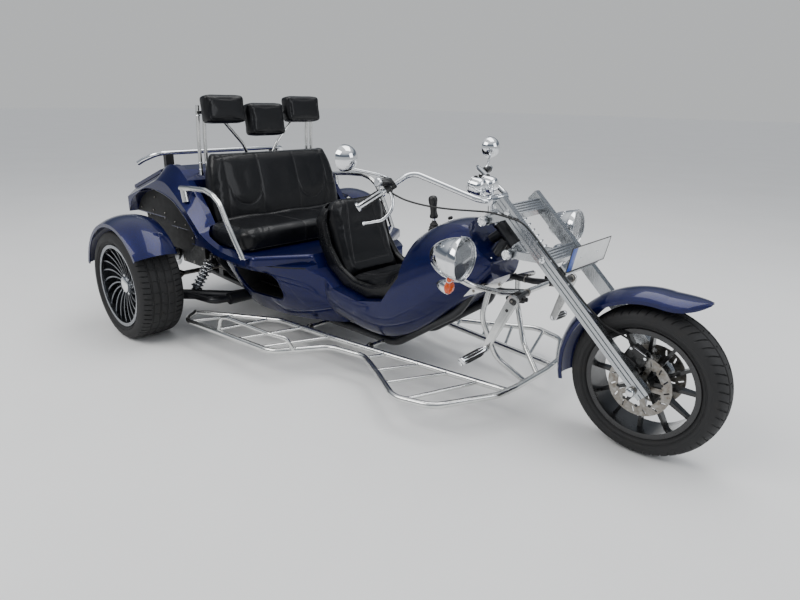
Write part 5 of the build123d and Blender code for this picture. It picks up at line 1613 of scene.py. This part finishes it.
def flank_panels():
    """The black panels below the wings and the splash guards inside them, with their screws."""
    made = Build()
    upper = bowed((-1.774, 0.648), (-1.640, 0.774), (-1.375, 0.818))
    upper += bowed((-1.370, 0.818), (-1.220, 0.792), (-1.118, 0.748))
    upper += [Vector((-1.078, 0.716)), Vector((-1.062, 0.690))]
    lower = [(-1.062, 0.528), (-1.098, 0.528), (-1.128, 0.606), (-1.332, 0.606), (-1.402, 0.648)]
    outline = [(p[0], p[1]) for p in upper] + lower
    for sign in SIDES:
        made.prism(outline[::-1], 0.003, side_place(-0.540 if sign < 0 else 0.543), seal, 0.001)
        for x, z in ((-1.72, 0.672), (-1.55, 0.672), (-1.40, 0.672), (-1.28, 0.632), (-1.15, 0.632),
                     (-1.08, 0.56), (-1.09, 0.69), (-1.30, 0.782), (-1.52, 0.758)):
            made.cap_screw((x, sign * 0.543, z), (0, sign, 0), 0.0055, steel, black_metal)
        made.prism(GUARD_LINE[::-1], 0.003, side_place(-0.494 if sign < 0 else 0.497), seal, 0.001)
        for x, z in ((-1.70, 0.620), (-1.50, 0.620), (-1.34, 0.580), (-1.18, 0.580)):
            made.cap_screw((x, sign * 0.497, z), (0, sign, 0), 0.0055, steel, black_metal)
    made.finish("flank_panels", "chassis", slot="black_metal")


# The middle of the recess in each flank
RECESS_X, RECESS_Z = -0.520, 0.385


def recess_liners():
    """Black plastic liners that paint the shade in the tub's flank recesses, each with slats and a rim in
    the body's paint.
    """
    made = Build()
    for sign in SIDES:
        outline = rounded_loop(RECESS_X, RECESS_Z, 0.170, 0.090, 0.062)
        rim = [from_side(TUB_TREE, x, z, sign) for x, z in outline]
        if None in rim:
            continue
        rim = [p - Vector((0, sign * 0.001, 0)) for p in rim]
        made.tube(rim, 0.0045, paint, 8, closed=True)
        rows = []
        for inset, depth in ((0.030, 0.300), (0.006, 0.296), (0.003, None), (0.0006, None),
                             (0.0006, 0.2905)):
            line = rounded_loop(RECESS_X, RECESS_Z, 0.1645 - inset, 0.0845 - inset, 0.0595 - inset * 0.8)
            rows.append([
                Vector((x, sign * depth if depth else p.y - sign * 0.010, z))
                for (x, z), p in zip(line, rim)
            ])
        # Painted shade: the recess is lined in black plastic to make it dark.
        made.grid(rows, plastic)
        for z in (0.335, 0.385, 0.435):
            reach = 0.150 if z == RECESS_Z else 0.132
            slat = shift(RECESS_X, sign * 0.335, z) @ Matrix.Rotation(sign * radians(24), 4, "X")
            made.box((2 * reach, 0.060, 0.004), slat, plastic, 0.0012)
    made.finish("recess_shade_liners", "chassis", slot="black_plastic")


def body_seams():
    """The rubber seals where the upper body meets the tub, and the bead under the wings' edges."""
    made = Build()
    for sign in SIDES:
        line = []
        for k in range(70):
            spot = from_side(TUB_TREE, -0.93 + 0.76 * k / 69, 0.5135, sign, 0.0006)
            if spot is not None and abs(spot.y) > 0.2:
                line.append(spot)
        made.tube(line, 0.0034, seal, 8)
        wing = bowed((-1.770, 0.664), (-1.640, 0.778), (-1.375, 0.822))
        wing += bowed((-1.372, 0.822), (-1.220, 0.796), (-1.120, 0.752))
        wing += bowed((-1.118, 0.751), (-1.02, 0.682), (-0.92, 0.592))
        edge = []
        for p in wing[1:]:
            spot = from_side(REAR_TREE, p[0], p[1] + 0.006, sign)
            if spot is not None:
                edge.append(Vector((p[0], spot.y, p[1] + 0.002)))
        made.tube(edge, 0.0040, paint, 8)
    made.finish("body_seals", "chassis", slot="rubber")


def bench_crumple():
    """The creased fold of leather between the bench's seat and its back."""
    made = Build()
    line = []
    radii = []
    for k in range(141):
        y = -0.470 + 0.940 * k / 140
        wave = sin(y * 13) * 0.6 + sin(y * 29 + 1.3) * 0.25 + sin(y * 57 + 0.4) * 0.15
        line.append((-0.864 + 0.004 * wave, y, 0.686 + 0.003 * sin(y * 19 + 0.8)))
        radii.append((0.022 + 0.0025 * wave) * min(1.0, 0.35 + (0.5 - abs(y)) * 12))
    made.tube(line, radii, black_leather, 20, flat=0.75)
    for y0, way in ((-0.30, 1), (-0.06, -1), (0.17, 1), (0.36, -1)):
        fold = smooth_line([(-0.842, y0 - 0.07 * way, 0.690), (-0.824, y0, 0.6935),
                            (-0.842, y0 + 0.06 * way, 0.691)], 8)
        made.tube(fold, [0.002 + 0.006 * sin(pi * k / (len(fold) - 1)) for k in range(len(fold))],
                  black_leather, 12, flat=0.5)
    made.finish("bench_fold", "chassis", slot="black_leather", sharp=60)


def coil_overs():
    """The rear dampers: alloy body and rod, spring seats, chrome spring, and eyes with their bolts."""
    made = Build()
    for sign in SIDES:
        low, high = Vector((-1.050, sign * 0.590, 0.226)), Vector((-1.040, sign * 0.424, 0.456))
        run = high - low
        place = at(low, run, (1, 0, 0))
        made.lathe([(0.0002, 0.030), (0.0225, 0.032), (0.0225, 0.040), (0.0365, 0.044), (0.0370, 0.050),
                    (0.0335, 0.054), (0.0210, 0.055), (0.0210, 0.150), (0.0185, 0.156), (0.0075, 0.158),
                    (0.0075, 0.214), (0.0002, 0.215)], place, gunmetal, 36)
        made.lathe([(0.0002, 0.212), (0.0335, 0.214), (0.0370, 0.218), (0.0365, 0.226), (0.0180, 0.230),
                    (0.0160, 0.250), (0.0002, 0.252)], place, black_metal, 36)
        turns, steps = 6.4, 170
        coil = []
        for k in range(steps + 1):
            t = k / steps
            angle = 2 * pi * turns * t
            rise = 0.0585 + 0.151 * t
            coil.append(place @ polar(0.0290, angle, rise))
        made.tube(coil, 0.0052, chrome, 10)
        for spot in (low + run * 0.075, high - run * 0.075):
            eye = at(spot - Vector((0.016, 0, 0)), (1, 0, 0))
            made.lathe([(0.006, 0.0), (0.0165, 0.0), (0.0175, 0.003), (0.0175, 0.029), (0.0165, 0.032),
                        (0.006, 0.032)], eye, black_metal, 28, closed=True)
            made.bolt(spot + Vector((0.016, 0, 0)), (1, 0, 0), 0.0085, steel)
            made.bolt(spot - Vector((0.016, 0, 0)), (-1, 0, 0), 0.0085, steel)
        for spot in (low, high):
            made.lathe([(0.0002, 0), (0.0135, 0), (0.0135, 0.022), (0.0002, 0.022)],
                       at(spot, run if spot == low else -run), black_metal, 24)
    made.finish("coil_overs", "chassis", ["rear_shocks"], "black_metal", sharp=40)


BOARD_Z = 0.145
BOARD_OUTER = [(0.990, -0.140), (0.975, -0.270), (0.840, -0.545), (0.660, -0.600), (0.447, -0.480),
               (0.254, -0.382), (0.036, -0.425), (-0.127, -0.679), (-0.859, -0.752), (-0.944, -0.640)]
BOARD_INNER = [(-0.944, -0.640), (-0.470, -0.366), (-0.219, -0.344), (-0.019, -0.330), (0.993, -0.194)]
RUNGS = [
    ((0.701, -0.559), (0.842, -0.230)),
    ((0.557, -0.493), (0.681, -0.245)),
    ((0.428, -0.435), (0.521, -0.266)),
    ((0.273, -0.385), (0.310, -0.257)),
    ((-0.215, -0.654), (-0.061, -0.376)),
    ((-0.396, -0.675), (-0.276, -0.446)),
    ((-0.598, -0.685), (-0.505, -0.450)),
    ((-0.824, -0.704), (-0.713, -0.515)),
]


def nearest_on(line, point):
    """The point of a line of straight runs that is nearest to a point."""
    point = Vector(point)
    best = None
    for a, b in zip(line, line[1:]):
        a, b = Vector(a), Vector(b)
        t = max(0.0, min(1.0, (point - a).dot(b - a) / (b - a).length_squared))
        spot = a + (b - a) * t
        if best is None or (spot - point).length < (best - point).length:
            best = spot
    return best


def board_trim():
    """Weld beads at the boards' rungs, brackets and guards, and the clamps of their brackets."""
    made = Build()
    for sign in SIDES:
        for outer, inner in RUNGS:
            a, b = nearest_on(BOARD_OUTER, outer), nearest_on(BOARD_INNER, inner)
            a, b = Vector((a.x, sign * -a.y, BOARD_Z)), Vector((b.x, sign * -b.y, BOARD_Z))
            run = (b - a).normalized()
            ring(made, a + run * 0.0155, run, 0.0092, 0.0022, polished, 24)
            ring(made, b - run * 0.0155, run, 0.0092, 0.0022, polished, 24)
        for x, y in ((0.180, 0.304), (-0.260, 0.346)):
            made.lathe([(0.0112, -0.012), (0.0160, -0.012), (0.0170, -0.009), (0.0170, 0.009),
                        (0.0160, 0.012), (0.0112, 0.012)],
                       at((x, sign * (y - 0.030), BOARD_Z + 0.004), (0, 1, 0)), black_metal, 28,
                       closed=True)
            made.bolt((x, sign * (y - 0.030), BOARD_Z + 0.020), (0, 0, 1), 0.0065, steel)
        for x, y in ((-0.560, 0.718), (-0.060, 0.588)):
            ring(made, (x, sign * y, BOARD_Z + 0.015), (0, 0, 1), 0.0100, 0.0024, polished, 24)
    made.finish("board_beads", "chassis", slot="polished_tube")


def rail_fittings():
    """Collars and end caps of the armrests, and collars of the headrest rail."""
    made = Build()
    for sign in SIDES:
        ring(made, (-1.0445, sign * 0.583, 0.800), (0.015, sign * -0.003, 0.078), 0.0105, 0.0040, chrome)
        ring(made, (-1.0455, sign * 0.5834, 0.812), (0.015, sign * -0.003, 0.078), 0.0105, 0.0022, chrome)
        ring(made, (-0.484, sign * 0.587, 0.560), (-0.5, sign * -0.07, -0.82), 0.0152, 0.0030, chrome)
        made.lathe([(0.0150, 0.0), (0.0150, 0.001), (0.0120, 0.006), (0.0060, 0.009), (0.0002, 0.010)],
                   at((-1.090, sign * 0.585, 0.866), (-0.995, sign * 0.1, -0.09)), chrome, 32)
        for y in (0.385, 0.425):
            ring(made, (-1.1085, sign * y, 1.272), (0, 0, 1), 0.0112, 0.0030, chrome, 28)
            ring(made, (-1.124, sign * y, 1.000), (0, 0, 1), 0.0112, 0.0025, chrome, 28)
            ring(made, (-1.124, sign * y, 0.960), (0, 0, 1), 0.0112, 0.0025, chrome, 28)
    made.finish("rail_collars", "chassis", slot="chrome")


def engine_trim():
    """The engine's two pulleys, their belt, bank bolts, the silencers' bands and the pipes' rings."""
    made = Build()
    low_z, high_z, belt_x = 0.345, 0.480, -1.675
    rear = at((-1.665, 0, low_z), (-1, 0, 0))
    made.lathe([(0.0002, 0.0), (0.064, 0.0), (0.066, 0.003), (0.066, 0.006), (0.058, 0.010),
                (0.066, 0.014), (0.066, 0.018), (0.030, 0.019), (0.022, 0.013), (0.010, 0.013),
                (0.0002, 0.016)], rear, steel, 44)
    small = at((-1.665, 0.0, high_z), (-1, 0, 0))
    made.lathe([(0.0002, 0.0), (0.034, 0.0), (0.036, 0.003), (0.030, 0.010), (0.036, 0.016),
                (0.036, 0.018), (0.0002, 0.020)], small, steel, 36)
    belt = []
    for k in range(33):
        angle = -pi + pi * k / 32
        belt.append((belt_x, 0.062 * cos(angle), low_z + 0.062 * sin(angle)))
    for k in range(17):
        angle = pi * k / 16
        belt.append((belt_x, 0.034 * cos(angle), high_z + 0.034 * sin(angle)))
    made.tube(belt, 0.0050, rubber, 8, closed=True)
    for sign in SIDES:
        for x in (-1.625, -1.500, -1.375):
            for z in (0.292, 0.408):
                made.bolt((x, sign * 0.320, z), (0, sign, 0), 0.0070, steel)
        can = at((-1.730, sign * 0.040, 0.330), (0, sign, 0))
        for where in (0.004, 0.376):
            made.lathe([(0.0618, where - 0.004), (0.0650, where - 0.004), (0.0655, where),
                        (0.0650, where + 0.004), (0.0618, where + 0.004)],
                       can, steel, 44, closed=True)
        for where in (0.110, 0.290):
            made.lathe([(0.0620, where - 0.009), (0.0634, where - 0.009), (0.0634, where + 0.009),
                        (0.0620, where + 0.009)],
                       can, black_metal, 44, closed=True)
        ring(made, (-1.781, sign * 0.300, 0.2355), (1, 0, 0), 0.0224, 0.0020, chrome)
        ring(made, (-1.822, sign * 0.300, 0.234), (1, 0, 0), 0.0222, 0.0018, chrome)
    made.finish("engine_trim", "chassis", slot="engine_metal")


flank_panels()
recess_liners()
body_seams()
bench_crumple()
coil_overs()
board_trim()
rail_fittings()
engine_trim()


# Small assemblies at the front


def along_place(start, end, normal):
    """A place with its X from one point to another and its +Z as near a direction as that allows."""
    run = (Vector(end) - Vector(start)).normalized()
    out = Vector(normal)
    out = (out - run * out.dot(run)).normalized()
    return Matrix.Translation(Vector(start)) @ Matrix((run, out.cross(run), out)).transposed().to_4x4()


def foot_pedals():
    """Tapered pedal plates with their pivots, strip-covered pegs and hydraulic cylinders."""
    made = Build()
    for sign in SIDES:
        out = Vector((0, sign, 0))
        top, foot = Vector((1.012, sign * 0.254, 0.590)), Vector((0.914, sign * 0.294, 0.354))
        tall = (foot - top).length
        place = along_place(top, foot, out)
        made.prism(round_ended(tall, 0.026, 0.016), 0.010, place @ shift(0, 0, -0.005), polished, 0.0018)
        face = place @ shift(0, 0, 0.005)
        made.lathe([(0.0002, -0.001), (0.0120, -0.001), (0.0135, 0.001), (0.0125, 0.004), (0.0085, 0.0055),
                    (0.0002, 0.0058)], face, black_metal, 30)
        made.bolt(face @ Vector((0, 0, 0.004)), face.to_3x3() @ Vector((0, 0, 1)), 0.0052, steel)
        made.lathe([(0.0002, -0.0008), (0.0068, -0.0008), (0.0072, 0.0010), (0.0002, 0.0012)],
                   face @ shift(0.048, 0, 0), black_metal, 24)
        a, b = Vector((0.916, sign * 0.292, 0.356)), Vector((0.898, sign * 0.440, 0.336))
        reach = (b - a).length
        peg = at(a, b - a)
        made.lathe([(0.0002, -0.004), (0.0120, -0.004), (0.0160, 0.002), (0.0160, 0.014), (0.0148, 0.018),
                    (0.0148, reach - 0.012), (0.0175, reach - 0.010), (0.0180, reach - 0.004),
                    (0.0165, reach), (0.0002, reach + 0.001)], peg, chrome, 36)
        for k in range(7):
            angle = 2 * pi * k / 7
            line = [peg @ polar(0.0146, angle, 0.020 + (reach - 0.034) * j / 5) for j in range(6)]
            made.tube(line, [0.0020] + [0.0056] * 4 + [0.0020], rubber, 10)
        made.tube([(1.020, sign * 0.262, 0.588), (0.984, sign * 0.090, 0.590)], 0.0135, black_metal, 24)
        for share in (0.12, 0.90):
            spot = Vector((1.020, sign * 0.262, 0.588)).lerp(Vector((0.984, sign * 0.090, 0.590)), share)
            ring(made, spot, (-0.2, -sign, 0), 0.0145, 0.0032, steel, 28)
        start, end = Vector((0.928, sign * 0.168, 0.566)), Vector((1.036, sign * 0.176, 0.584))
        cylinder = at(start, end - start)
        made.lathe([(0.0002, 0.0), (0.0090, 0.0), (0.0110, 0.004), (0.0110, 0.020), (0.0172, 0.022),
                    (0.0180, 0.026), (0.0180, 0.086), (0.0165, 0.090), (0.0120, 0.092), (0.0105, 0.100),
                    (0.0105, 0.106), (0.0002, 0.108)], cylinder, black_metal, 32)
        made.lathe([(0.0130, 0.0), (0.0145, 0.002), (0.0145, 0.016), (0.0125, 0.019), (0.0002, 0.0195)],
                   at((0.985, sign * 0.172, 0.588)), plastic, 28)
        made.bolt((0.952, sign * 0.170, 0.586), (0, 0, 1), 0.0062, steel)
        start, end = (0.935, sign * 0.146, 0.585), (0.985, sign * 0.146, 0.590)
        mount = along_place(start, end, out) @ shift(0.02, 0, 0) @ Matrix.Rotation(radians(90), 4, "X")
        made.box((0.050, 0.010, 0.040), mount, black_metal, 0.002)
        for x in (0.942, 0.976):
            made.cap_screw((x, sign * 0.151, 0.598), out, 0.0042, steel, plastic)
    made.finish("foot_pedals", "chassis", ["pedals"], "polished_tube", sharp=40)


def head_fittings():
    """The braces under the tank, the rod beside the head, the tank's knob and screws, the gaiter's ring."""
    made = Build()
    for sign in SIDES:
        out = Vector((0, sign, 0))
        low, high = Vector((0.672, sign * 0.152, 0.522)), Vector((0.868, sign * 0.139, 0.608))
        brace = along_place(low, high, out)
        run = (high - low).length
        made.prism(round_ended(run, 0.014, 0.012), 0.005, brace, polished, 0.001)
        for x in (0.0, 0.070, run):
            made.bolt(brace @ Vector((x, 0, 0.005)), out, 0.0055, steel)
        ring(made, (0.776, sign * 0.128, 0.574), (1, 0, 0), 0.0152, 0.0030, steel, 28)
        ring(made, (0.842, sign * 0.120, 0.574), (1, 0, 0), 0.0152, 0.0030, steel, 28)
    side = from_side(TUB_TREE, 0.700, 0.668, -1, 0.006)
    far = Vector((0.786, -0.094, 0.706))
    if side is not None:
        made.tube([side, side.lerp(far, 0.5), far], 0.0050, chrome, 16)
        made.lathe([(0.0002, -0.006), (0.0088, -0.005), (0.0105, 0.0), (0.0088, 0.005), (0.0002, 0.006)],
                   at(side, (0, -1, 0)), steel, 28)
    for x, y, finish in ((0.474, -0.004, "knob"), (0.446, -0.046, "screw"), (0.446, 0.046, "screw"),
                         (0.506, -0.044, "screw"), (0.506, 0.044, "screw")):
        spot, normal = TUB_TREE.ray_cast(Vector((x, y, 1.2)), Vector((0, 0, -1)))[:2]
        if spot is None:
            continue
        if finish == "knob":
            place = at(spot, normal)
            made.lathe([(0.0002, -0.002), (0.0150, -0.002), (0.0155, 0.002), (0.0095, 0.0035),
                        (0.0080, 0.0060), (0.0105, 0.0080), (0.0132, 0.0130), (0.0122, 0.0190),
                        (0.0070, 0.0225), (0.0002, 0.0232)], place, plastic, 32)
            ring(made, spot + normal * 0.001, normal, 0.0175, 0.0022, chrome, 32)
        else:
            made.cap_screw(spot - normal * 0.001, normal, 0.0050)
    ring(made, (LEVER_X, LEVER_Y, 0.7125), (-0.45, 0, 0.9), 0.0440, 0.0030, chrome, 44)
    made.finish("tank_fittings", "chassis", slot="chrome")


def finned_clamp():
    """The ribbed alloy block round the lower pin, between the links."""
    made = Build()
    centre = fork_point(PINS_AHEAD, 0, 0.758)
    place = at(centre, FORK_UP, FORK_AHEAD)
    made.box((0.112, 0.044, 0.040), place, fork_metal, 0.003)
    for k in range(5):
        made.box((0.122, 0.056, 0.0040), place @ shift(0, 0, -0.018 + 0.009 * k), fork_metal, 0.0010)
    for sign in SIDES:
        made.cap_screw(place @ Vector((sign * 0.040, 0, 0.020)), FORK_UP, 0.0048)
    made.finish("ribbed_clamp", "steering", slot="fork_metal")


def bar_ribs():
    """The bright ridges along the two bars between the fork's legs."""
    made = Build()
    for up in BARS_UP:
        place = at(fork_point(0.0222, 0, up), FORK_AHEAD, FORK_UP)
        for k in range(5):
            made.box((0.216, 0.0066, 0.0020), place @ shift(0, -0.0252 + 0.0126 * k, 0), bright_edge,
                     0.0008)
    made.finish("bar_ridges", "steering", slot="fork_metal")


foot_pedals()
head_fittings()
finned_clamp()
bar_ribs()
